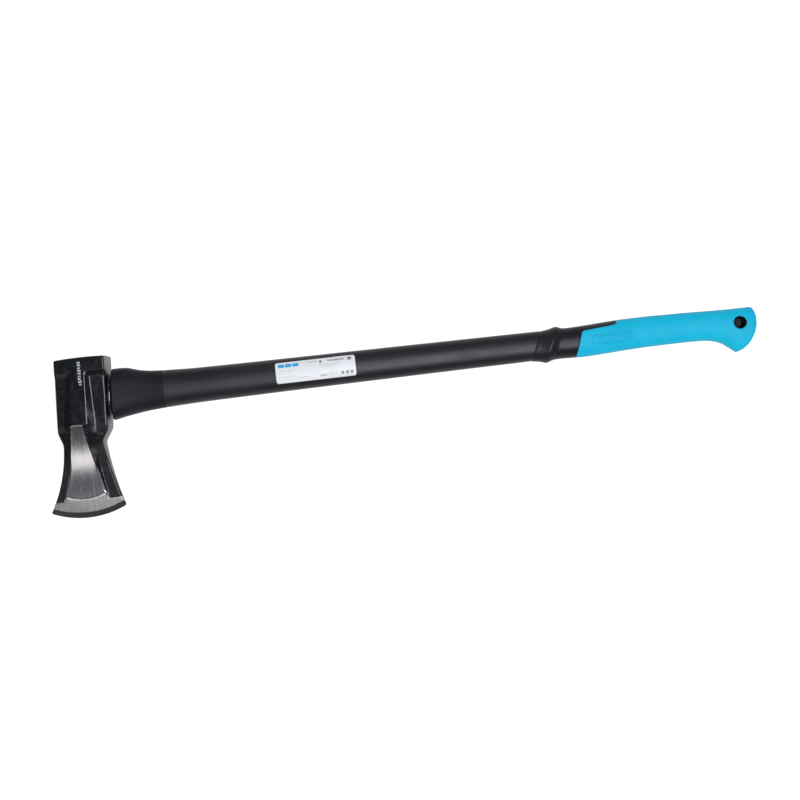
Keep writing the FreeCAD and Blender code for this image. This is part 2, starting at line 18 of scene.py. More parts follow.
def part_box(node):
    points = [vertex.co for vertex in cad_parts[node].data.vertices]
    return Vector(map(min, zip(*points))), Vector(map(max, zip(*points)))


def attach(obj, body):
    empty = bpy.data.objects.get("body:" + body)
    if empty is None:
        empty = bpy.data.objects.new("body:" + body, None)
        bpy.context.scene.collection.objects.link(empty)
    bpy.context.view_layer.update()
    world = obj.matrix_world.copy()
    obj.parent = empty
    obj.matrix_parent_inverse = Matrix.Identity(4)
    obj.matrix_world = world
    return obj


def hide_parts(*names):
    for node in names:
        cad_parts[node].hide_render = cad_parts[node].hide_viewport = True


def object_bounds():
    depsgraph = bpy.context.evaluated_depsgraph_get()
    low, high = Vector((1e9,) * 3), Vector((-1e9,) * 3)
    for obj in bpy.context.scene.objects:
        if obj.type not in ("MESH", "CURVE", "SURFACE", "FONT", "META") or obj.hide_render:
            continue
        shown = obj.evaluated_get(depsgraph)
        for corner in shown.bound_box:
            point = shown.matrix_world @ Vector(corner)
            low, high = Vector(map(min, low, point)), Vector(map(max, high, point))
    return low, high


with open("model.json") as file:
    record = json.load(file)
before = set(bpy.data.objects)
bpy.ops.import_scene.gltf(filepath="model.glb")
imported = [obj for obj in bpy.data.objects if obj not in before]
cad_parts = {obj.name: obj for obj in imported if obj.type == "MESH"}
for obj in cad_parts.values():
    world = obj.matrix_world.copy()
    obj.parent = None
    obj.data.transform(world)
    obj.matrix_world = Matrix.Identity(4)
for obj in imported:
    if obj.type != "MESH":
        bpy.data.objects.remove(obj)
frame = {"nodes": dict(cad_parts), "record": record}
cad_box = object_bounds()

MM = 0.001


def box_mm(node):
    low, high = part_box(node)
    return np.array(low) / MM, np.array(high) / MM


HEAD_LOW, HEAD_HIGH = box_mm("maul_head")
MID_Z = (HEAD_LOW[2] + HEAD_HIGH[2]) / 2
HALF = (HEAD_HIGH[2] - HEAD_LOW[2]) / 2
MOUNTS = {m["name"]: m for m in frame["record"]["mounts"]}
HANG = np.array(MOUNTS["hang_hole"]["pos_m"]) / MM
HANG_RADIUS = MOUNTS["hang_hole"]["dims"]["r_mm"]
HANG_IN_GRIP = 261.5
GRIP_X = HANG[0] - HANG_IN_GRIP     # the grip's front, on the handle's axis
BODY_HALF = 32.2                # from the eye's centre to the head's underside, along X
BODY_LEAN = math.radians(3.4)   # the head's body leans away from the grip towards the blade
LEAN = math.tan(BODY_LEAN)


# ---------------------------------------------------------------- curves and noise
def averaged(function, spread):
    """The function averaged over a distance of about spread to each side."""
    offsets = np.linspace(-2, 2, 9)
    weights = np.exp(-offsets ** 2 / 2)
    weights /= weights.sum()
    return lambda x: sum(w * function(np.asarray(x, float) + o * spread) for o, w in zip(offsets, weights))


def smooth_curve(points, spread=0.0):
    """Function through (x, value) points with no overshoot; spread averages it over that distance."""
    xs, ys = (np.array(column, float) for column in zip(*points))
    step = np.diff(xs)
    slope = np.diff(ys) / step
    tangent = np.zeros(len(xs))
    tangent[0], tangent[-1] = slope[0], slope[-1]
    for i in range(1, len(xs) - 1):
        a, b = slope[i - 1], slope[i]
        if a * b > 0:
            tangent[i] = 2 * a * b / (a + b)

    def plain(x):
        x = np.asarray(x, float)
        i = np.clip(np.searchsorted(xs, x) - 1, 0, len(step) - 1)
        h = step[i]
        t = np.clip((x - xs[i]) / h, 0, 1)
        value = (
            ys[i] * (1 + 2 * t) * (1 - t) ** 2 + ys[i + 1] * t * t * (3 - 2 * t)
            + h * tangent[i] * t * (1 - t) ** 2 - h * tangent[i + 1] * t * t * (1 - t)
        )
        before, after = np.minimum(x - xs[0], 0), np.maximum(x - xs[-1], 0)
        return value + before * tangent[0] + after * tangent[-1]

    return averaged(plain, spread) if spread else plain


def straight(points):
    """Function of straight lines through (x, value) points."""
    xs, ys = zip(*sorted(points))
    return lambda x: np.interp(x, xs, ys)


def ease(a, b, x):
    t = np.clip((x - a) / (b - a), 0, 1)
    return t * t * (3 - 2 * t)


def quarter(distance, radius):
    """How far a rounded edge of that radius lies below its flat, at a distance from the edge."""
    d = np.clip(distance, 0, radius)
    return radius - np.sqrt(np.maximum(radius ** 2 - (radius - d) ** 2, 0))


def rolled(distance, width, depth):
    """Like quarter, for an edge that rolls over that width down to that depth."""
    return depth / width * quarter(distance, width)


def oval(angle, height, half, squareness=2.4):
    """Squarish oval: its two coordinates at angles round it, the first at its greatest at angle 0."""
    power = 2.0 / squareness
    c, s = np.cos(angle), np.sin(angle)
    return height * np.sign(c) * np.abs(c) ** power, half * np.sign(s) * np.abs(s) ** power


def search(low, high, inside, rounds=30):
    """Values between low and high where inside(value) stops being true, found by halving."""
    for _ in range(rounds):
        value = (low + high) / 2
        yes = inside(value)
        low, high = np.where(yes, value, low), np.where(yes, high, value)
    return (low + high) / 2


def circle_through(points):
    """Centre and radius of the circle through three points."""
    a, b, c = (np.array(point, float) for point in points)
    centre = np.linalg.solve(2 * np.array([b - a, c - a]), [b @ b - a @ a, c @ c - a @ a])
    return centre, math.hypot(*(a - centre))


def rounded_box_distance(x, y, x_range, y_range, corner):
    """Signed distance to a rectangle with rounded corners, negative inside."""
    cx, cy = sum(x_range) / 2, sum(y_range) / 2
    dx = np.abs(x - cx) - (x_range[1] - x_range[0]) / 2 + corner
    dy = np.abs(y - cy) - (y_range[1] - y_range[0]) / 2 + corner
    return np.hypot(np.maximum(dx, 0), np.maximum(dy, 0)) + np.minimum(np.maximum(dx, dy), 0) - corner


def wave_noise(points, scale, count=24, seed=1):
    """Smooth noise of about unit size with features of about scale: a sum of randomly turned waves."""
    own = np.random.default_rng(seed)
    total = np.zeros(points.shape[:-1])
    for _ in range(count):
        direction = own.normal(size=3)
        direction /= np.linalg.norm(direction)
        length = scale * own.uniform(0.7, 1.6)
        total += np.sin(points @ direction * (2 * math.pi / length) + own.uniform(0, 2 * math.pi))
    return total / math.sqrt(count)


# ---------------------------------------------------------------- meshes
def mesh_piece(name, grids, attributes=None, smooth_angle=35.0):
    """Object from grids of points in millimetres, each (rows x columns x 3, wraps across, wraps along)."""
    verts, faces, start = [], [], 0
    for points, wrap_columns, wrap_rows in grids:
        rows, columns = points.shape[:2]
        verts.append(points.reshape(-1, 3))
        index = np.arange(rows * columns).reshape(rows, columns) + start
        if wrap_columns:
            index = np.concatenate([index, index[:, :1]], axis=1)
        if wrap_rows:
            index = np.concatenate([index, index[:1]], axis=0)
        quads = np.stack([index[:-1, :-1], index[:-1, 1:], index[1:, 1:], index[1:, :-1]], axis=-1)
        faces.append(quads.reshape(-1, 4))
        start += rows * columns
    mesh = bpy.data.meshes.new(name)
    mesh.from_pydata((np.concatenate(verts) * MM).tolist(), [], np.concatenate(faces).tolist())
    for key, values in (attributes or {}).items():
        layer = mesh.attributes.new(key, "FLOAT", "POINT")
        layer.data.foreach_set("value", np.concatenate([v.ravel() for v in values]).astype(np.float32))
    piece = bpy.data.objects.new(name, mesh)
    bpy.context.scene.collection.objects.link(piece)
    clean(piece, smooth_angle)
    return piece


def clean(piece, smooth_angle=35.0):
    """Joins points that coincide, turns the faces outwards and shades the mesh smooth up to an angle."""
    work = bmesh.new()
    work.from_mesh(piece.data)
    bmesh.ops.remove_doubles(work, verts=work.verts, dist=0.004 * MM)
    bmesh.ops.dissolve_degenerate(work, dist=0.001 * MM, edges=work.edges)
    bmesh.ops.recalc_face_normals(work, faces=work.faces)
    limit = math.radians(smooth_angle)
    for face in work.faces:
        face.smooth = True
    for edge in work.edges:
        edge.smooth = not edge.is_manifold or edge.calc_face_angle(0.0) < limit
    work.to_mesh(piece.data)
    work.free()


def cut_hole(piece, cutter):
    """Cuts cutter out of piece for good."""
    modifier = piece.modifiers.new("hole", "BOOLEAN")
    modifier.operation = "DIFFERENCE"
    modifier.solver = "EXACT"
    modifier.object = cutter
    bpy.context.view_layer.update()
    cut = bpy.data.meshes.new_from_object(piece.evaluated_get(bpy.context.evaluated_depsgraph_get()))
    piece.modifiers.remove(modifier)
    old = piece.data
    piece.data = cut
    bpy.data.meshes.remove(old)
    bpy.data.objects.remove(cutter)


def finish_piece(piece, node, material):
    piece.data.materials.clear()
    piece.data.materials.append(material)
    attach(piece, "root")
    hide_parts(node)


# ---------------------------------------------------------------- handle
# Sections of the handle: x of the middle, top, bottom, half thickness, squareness. The guard's and the
# shaft's x is measured from the middle of the head's underside, the ring's and the grip's from GRIP_X.
GUARD = (
    (-0.2, 32.4, -33.3, 23.6, 3.7),
    (7.8, 32.5, -32.1, 23.0, 3.6),
    (16.8, 32.6, -30.3, 21.8, 3.3),
    (25.8, 32.1, -28.9, 20.5, 3.0),
    (34.8, 29.6, -27.6, 19.3, 2.8),
    (45.8, 26.6, -26.1, 18.1, 2.6),
    (57.8, 24.8, -25.1, 17.2, 2.5),
    (71.8, 23.7, -24.2, 16.5, 2.4),
)
SHAFT = (
    (117.8, 22.0, -22.6, 15.5, 2.4),
    (337.8, 20.2, -20.2, 14.8, 2.4),
    (561.8, 18.3, -18.7, 14.1, 2.4),
)
SQUARENESS = 2.4                # of the ring's and the grip's ovals
KNOB_SQUARENESS = 2.5
RING_TILT = math.radians(20.0)
RING_LOWER = 0.7
# x on the axis, half height across the tilted plane, half thickness
RING = (
    (-2.0, 17.6, 13.1),
    (0.0, 19.1, 14.0),
    (3.0, 20.0, 14.7),
    (9.0, 20.9, 15.5),
    (16.0, 22.6, 16.9),
    (20.5, 23.9, 17.9),
    (24.5, 22.7, 17.1),
    (30.0, 20.9, 15.8),
    (38.0, 20.5, 15.5),
)
# x, top, bottom, half thickness, lean in degrees
GRIP = (
    (49.0, 18.8, -20.4, 15.6, 12.0),
    (64.0, 19.3, -20.8, 15.9, 4.0),
    (85.0, 20.3, -20.0, 16.2, 0.0),
    (112.0, 21.4, -18.6, 16.0, 0.0),
    (140.0, 21.6, -17.6, 15.5, 0.0),
    (168.0, 21.1, -17.3, 15.2, 0.0),
    (192.0, 20.6, -17.3, 15.2, 0.0),
    (212.0, 19.9, -17.8, 15.4, 0.0),
)
# top x, top y, bottom x, bottom y, half thickness
KNOB = (
    (232.0, 19.2, 224.0, -19.2, 15.8),
    (251.0, 18.8, 235.0, -22.6, 16.5),
    (268.0, 18.7, 246.0, -29.9, 17.3),
    (282.0, 18.7, 257.0, -39.1, 17.9),
    (304.0, 18.7, 273.0, -52.7, 18.5),
)
BUTT_ARC = ((281.2, 18.2), (282.8, 0.0), (255.9, -38.4))
BUTT_EDGE = 3.6
GUARD_WALL = 6.0
JACKET_WALL = 3.0
BODY_WALL = 4.2
SKIN_WALL = 3.0
# The soft skin's front edge, as (y, x from GRIP_X)
SKIN_FRONT = ((-26.0, 48.4), (-20.0, 50.3), (6.0, 59.0), (10.5, 60.6), (12.3, 62.5), (13.2, 71.0),
              (15.0, 98.0), (16.2, 103.6), (18.0, 105.6), (26.0, 106.6))
GROOVE_DEPTH = 0.75             # where the skin meets the hard plastic
GROOVE_WIDTH = 1.3
PART_LINE_X = 31.5              # moulding line round the grip body's neck, from GRIP_X
PART_LINE_DEPTH = 0.16
BUSH_WALL = 2.0
HOLE_ROLL = (1.6, 0.9)          # width and depth of the skin's rolled edge round the hanging hole
SHADE_WEB_THICKNESS = 1.6                  # thickness of the dark web that closes the hanging hole halfway: painted shade, a sheet standing in for the shade inside the hole
COLUMNS = 240


class Surface:
    """The handle's outside as a function of place along it (X on the axis) and angle round it."""

    def __init__(self, stations, spread):
        """stations: (place, top x, top y, bottom x, bottom y, half thickness, squareness)."""
        places = [s[0] for s in stations]
        self.parts = []
        for k in range(1, 7):
            offset = places if k in (1, 3) else np.zeros(len(places))
            values = [s[k] - o for s, o in zip(stations, offset)]
            self.parts.append(smooth_curve(list(zip(places, values)), spread))

    def at(self, place, angle, grow=0.0):
        """Points for arrays of place and angle; angle 0 is the top, a quarter turn is +Z."""
        top_dx, top_y, bottom_dx, bottom_y, half, square = [part(place) for part in self.parts]
        top = np.stack([place + top_dx, top_y], axis=-1)
        bottom = np.stack([place + bottom_dx, bottom_y], axis=-1)
        middle = (top + bottom) / 2
        reach = np.linalg.norm(top - bottom, axis=-1)
        up = (top - bottom) / reach[..., None]
        h, t = oval(angle, reach / 2 + grow, half + grow, square)
        flat = middle + up * h[..., None]
        return np.concatenate([flat, (MID_Z + t)[..., None]], axis=-1)


def upright(sections, x0):
    return [(x0 + x, x0 + x, top, x0 + x, bottom, half, square) for x, top, bottom, half, square in sections]


def ring_stations():
    s, c = math.sin(RING_TILT), math.cos(RING_TILT)
    return [
        (GRIP_X + x, GRIP_X + x + s * h, c * h - RING_LOWER,
         GRIP_X + x - s * h, -c * h - RING_LOWER, half, SQUARENESS)
        for x, h, half in RING
    ]


def grip_stations():
    stations = []
    for x, top, bottom, half, lean in GRIP:
        shift = math.tan(math.radians(lean))
        stations.append((GRIP_X + x, GRIP_X + x + shift * top, top,
                         GRIP_X + x + shift * bottom, bottom, half, SQUARENESS))
    for top_x, top, bottom_x, bottom, half in KNOB:
        axis_x = top_x + (bottom_x - top_x) * top / (top - bottom)
        stations.append((GRIP_X + axis_x, GRIP_X + top_x, top,
                         GRIP_X + bottom_x, bottom, half, KNOB_SQUARENESS))
    return stations


GUARD_SURFACE = Surface(upright(GUARD, BODY_HALF), 1.2)
SHAFT_SURFACE = Surface(upright(GUARD[-1:] + SHAFT, BODY_HALF), 6.0)
GRIP_SURFACE = Surface(ring_stations() + grip_stations(), 0.8)


def angles(count=COLUMNS):
    """Angles round the handle, in equal steps."""
    return np.arange(count) * 2 * math.pi / count


def rows_of(*values):
    """Grid whose rows are these arrays of places along the handle, with the angle of each of its points."""
    place = np.array(values)
    return place, np.broadcast_to(angles(), place.shape)


def steps(*spans):
    """Places from (start, end, step) spans that follow each other."""
    runs = [np.arange(a, b, h) for a, b, h in spans]
    return np.concatenate(runs + [[spans[-1][1]]])


def sleeve(outer_rows, inner_rows):
    """Grid of a closed tube wall: out along the outside and back along the inside."""
    return np.concatenate([outer_rows, inner_rows[::-1]], axis=0)


def tube(surface, places, start_cut, end_cut, edges, wall):
    """Closed sleeve of a surface with two rounded edges; the cuts give x as a function of y at its ends."""
    place, angle = np.meshgrid(places, angles(), indexing="ij")
    points = surface.at(place, angle)
    for cut, side in ((start_cut, 1), (end_cut, -1)):
        if cut is not None:
            limit = cut(points[..., 1])
            blocked = (points[..., 0] - limit) * side < 0
            points[..., 0] = np.where(blocked, limit, points[..., 0])
    first, last = points[0, :, :], points[-1, :, :]
    inset = quarter(points[..., 0] - first[..., 0], edges[0])
    inset += quarter(last[..., 0] - points[..., 0], edges[1])
    centre = np.stack([points[..., 0], np.zeros_like(inset), np.full_like(inset, MID_Z)], axis=-1)
    out = points - centre
    length = np.linalg.norm(out, axis=-1, keepdims=True)
    outer = centre + out * (1 - inset[..., None] / length)
    inner = centre + out * (1 - wall / length)
    return sleeve(outer, inner)


def underside_x(gap):
    """x of a plane that lies gap away from the head's leaning underside, as a function of y."""
    return lambda y: BODY_HALF + gap + LEAN * y


def ring_front_x(gap=0.0):
    return lambda y: GRIP_X + gap + math.tan(RING_TILT) * (y + RING_LOWER)


def strike_guard():
    start, end = BODY_HALF - 3.0, BODY_HALF + GUARD[-1][0]
    places = steps((start, start + 14, 0.35), (start + 14, end - 3, 0.9), (end - 3, end, 0.3))
    grid = tube(GUARD_SURFACE, places, underside_x(6.3), None, (1.1, 0.15), GUARD_WALL)
    return mesh_piece("maul_strike_guard", [(grid, True, True)])


def shaft_jacket():
    start, end = BODY_HALF + GUARD[-1][0] + 0.03, GRIP_X + 12.0
    places = steps((start, start + 3, 0.3), (start + 3, end - 22, 2.4), (end - 22, end, 0.8))
    grid = tube(SHAFT_SURFACE, places, None, ring_front_x(1.5), (0.12, 0.3), JACKET_WALL)
    return mesh_piece("maul_shaft_jacket", [(grid, True, True)])


def eye_collar():
    """Glossy oval seat between the head and the guard: it fills the gap and steps in towards the guard."""
    theta = angles()
    # distance from the underside, half height, half thickness
    profile = ((0.5, 23.2, 16.0), (0.5, 26.2, 18.7), (1.1, 26.9, 19.4), (3.2, 27.0, 19.5), (4.0, 26.7, 19.2),
               (5.0, 25.4, 17.9), (5.7, 25.2, 17.7), (6.9, 25.1, 17.6), (6.9, 19.0, 12.0), (0.5, 19.0, 12.0))
    rows = []
    for gap, height, half in profile:
        y, z = oval(theta, height, half)
        rows.append(np.stack([underside_x(gap)(y), y, MID_Z + z], axis=-1))
    return mesh_piece("maul_eye_collar", [(np.array(rows), True, True)], smooth_angle=50)


# ---------------------------------------------------------------- grip
FRONT_Y, FRONT_X = (np.array(column, float) for column in zip(*SKIN_FRONT))
LINE_Y = np.linspace(FRONT_Y[0], FRONT_Y[-1], 521)
FRONT_LINE = np.stack([GRIP_X + np.interp(LINE_Y, FRONT_Y, FRONT_X), LINE_Y], axis=-1)
KERNEL = np.exp(-np.linspace(-2.2, 2.2, 13) ** 2 / 2)
KERNEL /= KERNEL.sum()
FRONT_LINE[6:-6, 0] = np.convolve(FRONT_LINE[:, 0], KERNEL, "valid")


# Stretches of X, from GRIP_X, that hold the skin's front edge, and the butt's end face
FRONT_REACH = (45.0, 111.0)
FRONT_SEARCH = (42.0, 112.0)
BUTT_SEARCH = (225.0, 300.0)


def front_x(y):
    """Where the soft skin begins at height y."""
    return np.interp(y, FRONT_LINE[:, 1], FRONT_LINE[:, 0])


def front_distance(points):
    """Distance from the skin's front edge in side view; endless away from it."""
    flat = points[..., :2].reshape(-1, 2)
    near = (flat[:, 0] > GRIP_X + FRONT_REACH[0]) & (flat[:, 0] < GRIP_X + FRONT_REACH[1])
    chosen = flat[near]
    distance = np.full(len(chosen), np.inf)
    for p, q in zip(FRONT_LINE[:-4:4], FRONT_LINE[4::4]):
        along = q - p
        t = np.clip(((chosen - p) @ along) / (along @ along), 0, 1)
        distance = np.minimum(distance, np.linalg.norm(chosen - p - t[:, None] * along, axis=1))
    best = np.full(len(flat), np.inf)
    best[near] = distance
    return best.reshape(points.shape[:-1])


def search_columns(angle, reach, inside):
    """Place along each column, within reach, where inside(points) stops being true."""
    low, high = (np.full(angle.shape, GRIP_X + x) for x in reach)
    return search(low, high, lambda place: inside(GRIP_SURFACE.at(place, angle)))


def column_front(angle):
    """Place along each column where it crosses the skin's front edge."""
    return search_columns(angle, FRONT_SEARCH, lambda points: points[:, 0] < front_x(points[:, 1]))


BUTT_CENTRE, BUTT_RADIUS = circle_through([(GRIP_X + x, y) for x, y in BUTT_ARC])


def column_butt(angle, inset=0.0):
    """Place along each column where it meets the butt's end face."""
    radius = BUTT_RADIUS - inset
    return search_columns(
        angle, BUTT_SEARCH, lambda points: np.linalg.norm(points[:, :2] - BUTT_CENTRE, axis=1) < radius)


def grip_normals(place, angle):
    """Unit normals of the grip's surface."""
    h = 0.05
    along = GRIP_SURFACE.at(place + h, angle) - GRIP_SURFACE.at(place - h, angle)
    turn = 0.002
    round_ = GRIP_SURFACE.at(place, angle + turn) - GRIP_SURFACE.at(place, angle - turn)
    normal = np.cross(round_, along)
    normal /= np.maximum(np.linalg.norm(normal, axis=-1, keepdims=True), 1e-9)
    middle = GRIP_SURFACE.at(place, angle + math.pi)
    outward = GRIP_SURFACE.at(place, angle) - middle
    return normal * np.sign((normal * outward).sum(-1, keepdims=True))


BADGE_X = (73.0, 123.0)
BADGE_Y = (-7.5, 5.0)
BADGE_CORNER = 3.4
BADGE_RAISE = 0.95
BADGE_BARS = ((78, 99, -4.6, -2.3), (78, 93, -0.4, 1.9), (96, 112, -0.4, 1.9))  # left, right, low, high
BADGE_DISC = (116.8, -1.2, 3.1)     # x, y, radius
BADGE_SLOPE = 0.035


def badge_relief(points):
    """Height of the raised frame and the plain bars inside it, on both sides of the grip."""
    x, y = points[..., 0] - GRIP_X, points[..., 1]
    y = y - BADGE_SLOPE * (x - sum(BADGE_X) / 2)
    edge = rounded_box_distance(x, y, BADGE_X, BADGE_Y, BADGE_CORNER)
    frame_line = 1 - ease(0.5, 1.1, np.abs(edge + 0.8))
    bars = np.zeros_like(x)
    for start, end, low, high in BADGE_BARS:
        inside = rounded_box_distance(x, y, (start, end), (low, high), 1.0)
        bars = np.maximum(bars, 1 - ease(-0.3, 0.4, inside))
    disc_x, disc_y, radius = BADGE_DISC
    bars = np.maximum(bars, 1 - ease(0.5, 1.0, np.abs(np.hypot(x - disc_x, y - disc_y) - radius)))
    side = ease(0.35, 0.6, np.abs(points[..., 2] - MID_Z) / 15.0)
    return BADGE_RAISE * np.maximum(frame_line, bars * 0.8) * side


def skin_rows():
    """Places of the soft skin's outside, from its front edge to the rim of the butt's face."""
    theta = angles()
    start, end = column_front(theta), column_butt(theta)
    fine = np.arange(60.0, 126.0, 0.55) + GRIP_X      # where the badge is
    coarse = steps((fine[-1] + 0.8, GRIP_X + 246, 1.7), (GRIP_X + 247, GRIP_X + 292, 0.8))
    shared = np.concatenate([fine, coarse])
    first, last = start + SKIN_WALL, end - BUTT_EDGE
    level = GRIP_X + FRONT_SEARCH[1]    # here every column has the same place
    rows = [start + behind for behind in np.linspace(0, SKIN_WALL, 13)[:-1]]
    for x in shared:
        if x < level:
            rows.append(first + (level - first) * (x - shared[0]) / (level - shared[0]))
        else:
            rows.append(level + (last - level) * (x - level) / (shared[-1] - level))
    rows += [last + (end - last) * (1 - (1 - t) ** 2) for t in np.linspace(0, 1, 9)[1:]]
    return rows


def skin_points():
    """Points of the soft skin's outside, closed by the butt's face."""
    place, angle = rows_of(*skin_rows())
    points = GRIP_SURFACE.at(place, angle)
    normals = grip_normals(place, angle)
    distance = front_distance(points)
    distance[0] = 0
    hole = np.hypot(points[..., 0] - HANG[0], points[..., 1] - HANG[1]) - HANG_RADIUS - BUSH_WALL - 0.1
    to_face = BUTT_RADIUS - np.linalg.norm(points[..., :2] - BUTT_CENTRE, axis=-1)
    to_face = np.where(points[..., 0] > BUTT_CENTRE[0], to_face, BUTT_EDGE)
    sunk = rolled(distance, GROOVE_WIDTH, GROOVE_DEPTH) + quarter(to_face, BUTT_EDGE)
    sunk += rolled(hole, *HOLE_ROLL) * (np.abs(normals[..., 2]) > 0.3)
    points = points + normals * (badge_relief(points) - sunk)[..., None]
    return np.concatenate([points, butt_face(points[-1])])


def butt_face(rim):
    """Rings that close the skin inside its rim, on the butt's arc."""
    middle = rim.mean(axis=0)
    across = rim - middle
    chord = np.array(BUTT_ARC[0]) - np.array(BUTT_ARC[2])
    chord /= np.linalg.norm(chord)
    outward = np.array([chord[1], -chord[0]])
    outward *= np.sign(outward[0])
    rings = []
    for t in (0.93, 0.84, 0.72, 0.58, 0.42, 0.26, 0.12, 0.0):
        ring = middle + across * t
        along = (ring[:, :2] - middle[:2]) @ chord
        foot = middle[:2] + along[:, None] * chord
        ray = foot - BUTT_CENTRE
        b = ray @ outward
        c = (ray ** 2).sum(axis=1) - BUTT_RADIUS ** 2
        ring[:, :2] = foot + outward * (-b + np.sqrt(b * b - c))[:, None]
        rings.append(ring)
    rings[-1][:] = rings[-1].mean(axis=0)
    return np.array(rings)


def skin_inside():
    """The hidden inside of the skin, which closes it as a solid shell."""
    theta = angles()
    start, end = column_front(theta), column_butt(theta, SKIN_WALL)
    place, angle = rows_of(*(start + (end - start) * t for t in np.linspace(0.0, 1.0, 60)))
    points = GRIP_SURFACE.at(place, angle, grow=-SKIN_WALL)
    centre = points[-1].mean(axis=0)
    closing = [centre + (points[-1] - centre) * t for t in (0.6, 0.2, 0.0)]
    return np.concatenate([points, np.array(closing)])


def soft_grip():
    shell = np.concatenate([skin_inside()[::-1], skin_points()])
    piece = mesh_piece("maul_soft_grip", [(shell, True, False)])
    cut_hole(piece, bore_tool(HANG_RADIUS + BUSH_WALL))
    clean(piece)
    return piece


def bore_tool(radius):
    """Cylinder that cuts the hanging hole."""
    turns = angles(96)
    rows = []
    for z, r in ((-30, 0), (-30, radius), (30, radius), (30, 0)):
        rows.append(np.stack([
            HANG[0] + r * np.cos(turns), HANG[1] + r * np.sin(turns),
            np.full(len(turns), MID_Z + z)], axis=-1))
    return mesh_piece("bore_tool", [(np.array(rows), True, False)])


def grip_body():
    """Ring, neck and tongue: the hard plastic in front of the skin, which runs a little way under it."""
    theta = angles()
    end = column_front(theta) + 0.4
    zone = GRIP_X + 45.0
    rows = [np.full(theta.shape, x) for x in steps((GRIP_X - 2.0, zone, 0.5))]
    rows += [zone + (end - zone) * t for t in np.linspace(0, 1, 90)[1:]]
    place, angle = rows_of(*rows)
    points = GRIP_SURFACE.at(place, angle)
    groove = rolled(front_distance(points), GROOVE_WIDTH, GROOVE_DEPTH)
    scar = PART_LINE_DEPTH * np.exp(-((place - GRIP_X - PART_LINE_X) / 1.1) ** 2)
    points = points - grip_normals(place, angle) * (groove + scar)[..., None]
    inner = GRIP_SURFACE.at(place, angle, grow=-BODY_WALL)
    return mesh_piece("maul_grip_body", [(sleeve(points, inner), True, True)])


def hang_bush():
    """Lining of the hanging hole, whose flared mouths follow the grip's surface, with a dark web halfway
    down that stands in for the shade inside the hole.
    """
    turns = angles(96)
    outer = HANG_RADIUS + BUSH_WALL
    # radius, depth below the grip's surface
    profile = ((outer, 1.3), (outer, 0.55), (outer - 0.35, 0.2), (outer - 0.9, 0.1),
               (HANG_RADIUS + 0.5, 0.35), (HANG_RADIUS + 0.1, 0.9), (HANG_RADIUS, 1.6))
    upper = []
    for radius, depth in profile:
        x, y = HANG[0] + radius * np.cos(turns), HANG[1] + radius * np.sin(turns)
        upper.append(np.stack([x, y, MID_Z + grip_half(x, y) - depth], axis=-1))
    corner = 0.6
    # Painted shade: this dark web closes the hole halfway and stands in for the shade inside the hanging
    # hole.
    web = ((HANG_RADIUS, corner), (HANG_RADIUS - corner, 0.0), (HANG_RADIUS / 2, 0.0), (0.0, 0.0))
    for radius, fillet in web:
        x, y = HANG[0] + radius * np.cos(turns), HANG[1] + radius * np.sin(turns)
        upper.append(np.stack([x, y, np.full(len(turns), MID_Z + SHADE_WEB_THICKNESS / 2 + fillet)], axis=-1))
    upper = np.array(upper)[::-1]
    lower = upper[::-1] * np.array([1, 1, -1]) + np.array([0, 0, 2 * MID_Z])
    return mesh_piece("maul_hang_bush", [(np.concatenate([upper, lower]), True, False)])


def grip_half(x, y):
    """Half thickness of the grip at a point of its side view, near the hanging hole."""
    place, angle = np.meshgrid(
        np.linspace(GRIP_X + 236, GRIP_X + 290, 90), np.linspace(0.2, math.pi - 0.2, 120),
        indexing="ij")
    points = GRIP_SURFACE.at(place, angle).reshape(-1, 3)
    out = np.empty(len(x))
    for i, (px, py) in enumerate(zip(x, y)):
        weight = np.exp(-((points[:, 0] - px) ** 2 + (points[:, 1] - py) ** 2) / 0.5)
        out[i] = (weight * (points[:, 2] - MID_Z)).sum() / weight.sum()
    return out


# ---------------------------------------------------------------- head
POLL_Y = 50.2
POLL_CROWN = 1.1
POLL_ROUND = 2.6
POLL_CORNER = 3.0
BLADE_CORNER = 2.6
SHOULDER_Y = -43.0
WAIST = ((-30.65, -58.0), (19.85, -58.0))   # far side, grip side
TOE = (-58.0, -143.0)
HEEL = (38.3, -142.0)
EDGE_SAG = 10.4
TOE_FLARE_SAG = 5.0
HEEL_FLARE_SAG = 2.0
RIB_FLAT_END_Y = -34.0
RIB_END_Y = -131.5
RIB_END_HALF = 6.0
RIB_HOLLOW = 2.5
RIB_END_SLOPE = 0.1026
EDGE_HALF = 0.12                # half thickness of the cutting edge
BEVEL_HALF = 3.1                # at the bevel's upper edge
PANEL_TOP_Y = 33.0
EDGE_CHAMFER = 2.0
CHAMFER_SLOPE = 0.6
BEVEL_WIDTH = 7.0
GRIND_WIDTH = 22.0
BLEND = 0.8                     # softens the line where the ground blade meets the rib
EYE_HALF = (21.0, 12.5)
RIB_LEFT = straight(((33.0, -9.0), (-40.0, -17.0), (-90.0, -25.5), (-131.5, -38.5)))
RIB_RIGHT = straight(((33.0, 8.2), (-60.0, 2.6), (-131.5, 16.8)))
# Width of the rib's sloping walls
WALL_FAR = straight(((33.0, 5.0), (-30.0, 8.5), (-65.0, 8.0), (-90.0, 4.5), (-131.5, 2.0)))
WALL_GRIP = straight(((33.0, 5.0), (-10.0, 8.2), (-30.0, 10.0), (-48.0, 11.0), (-65.0, 8.0), (-90.0, 4.5),
                      (-131.5, 2.0)))
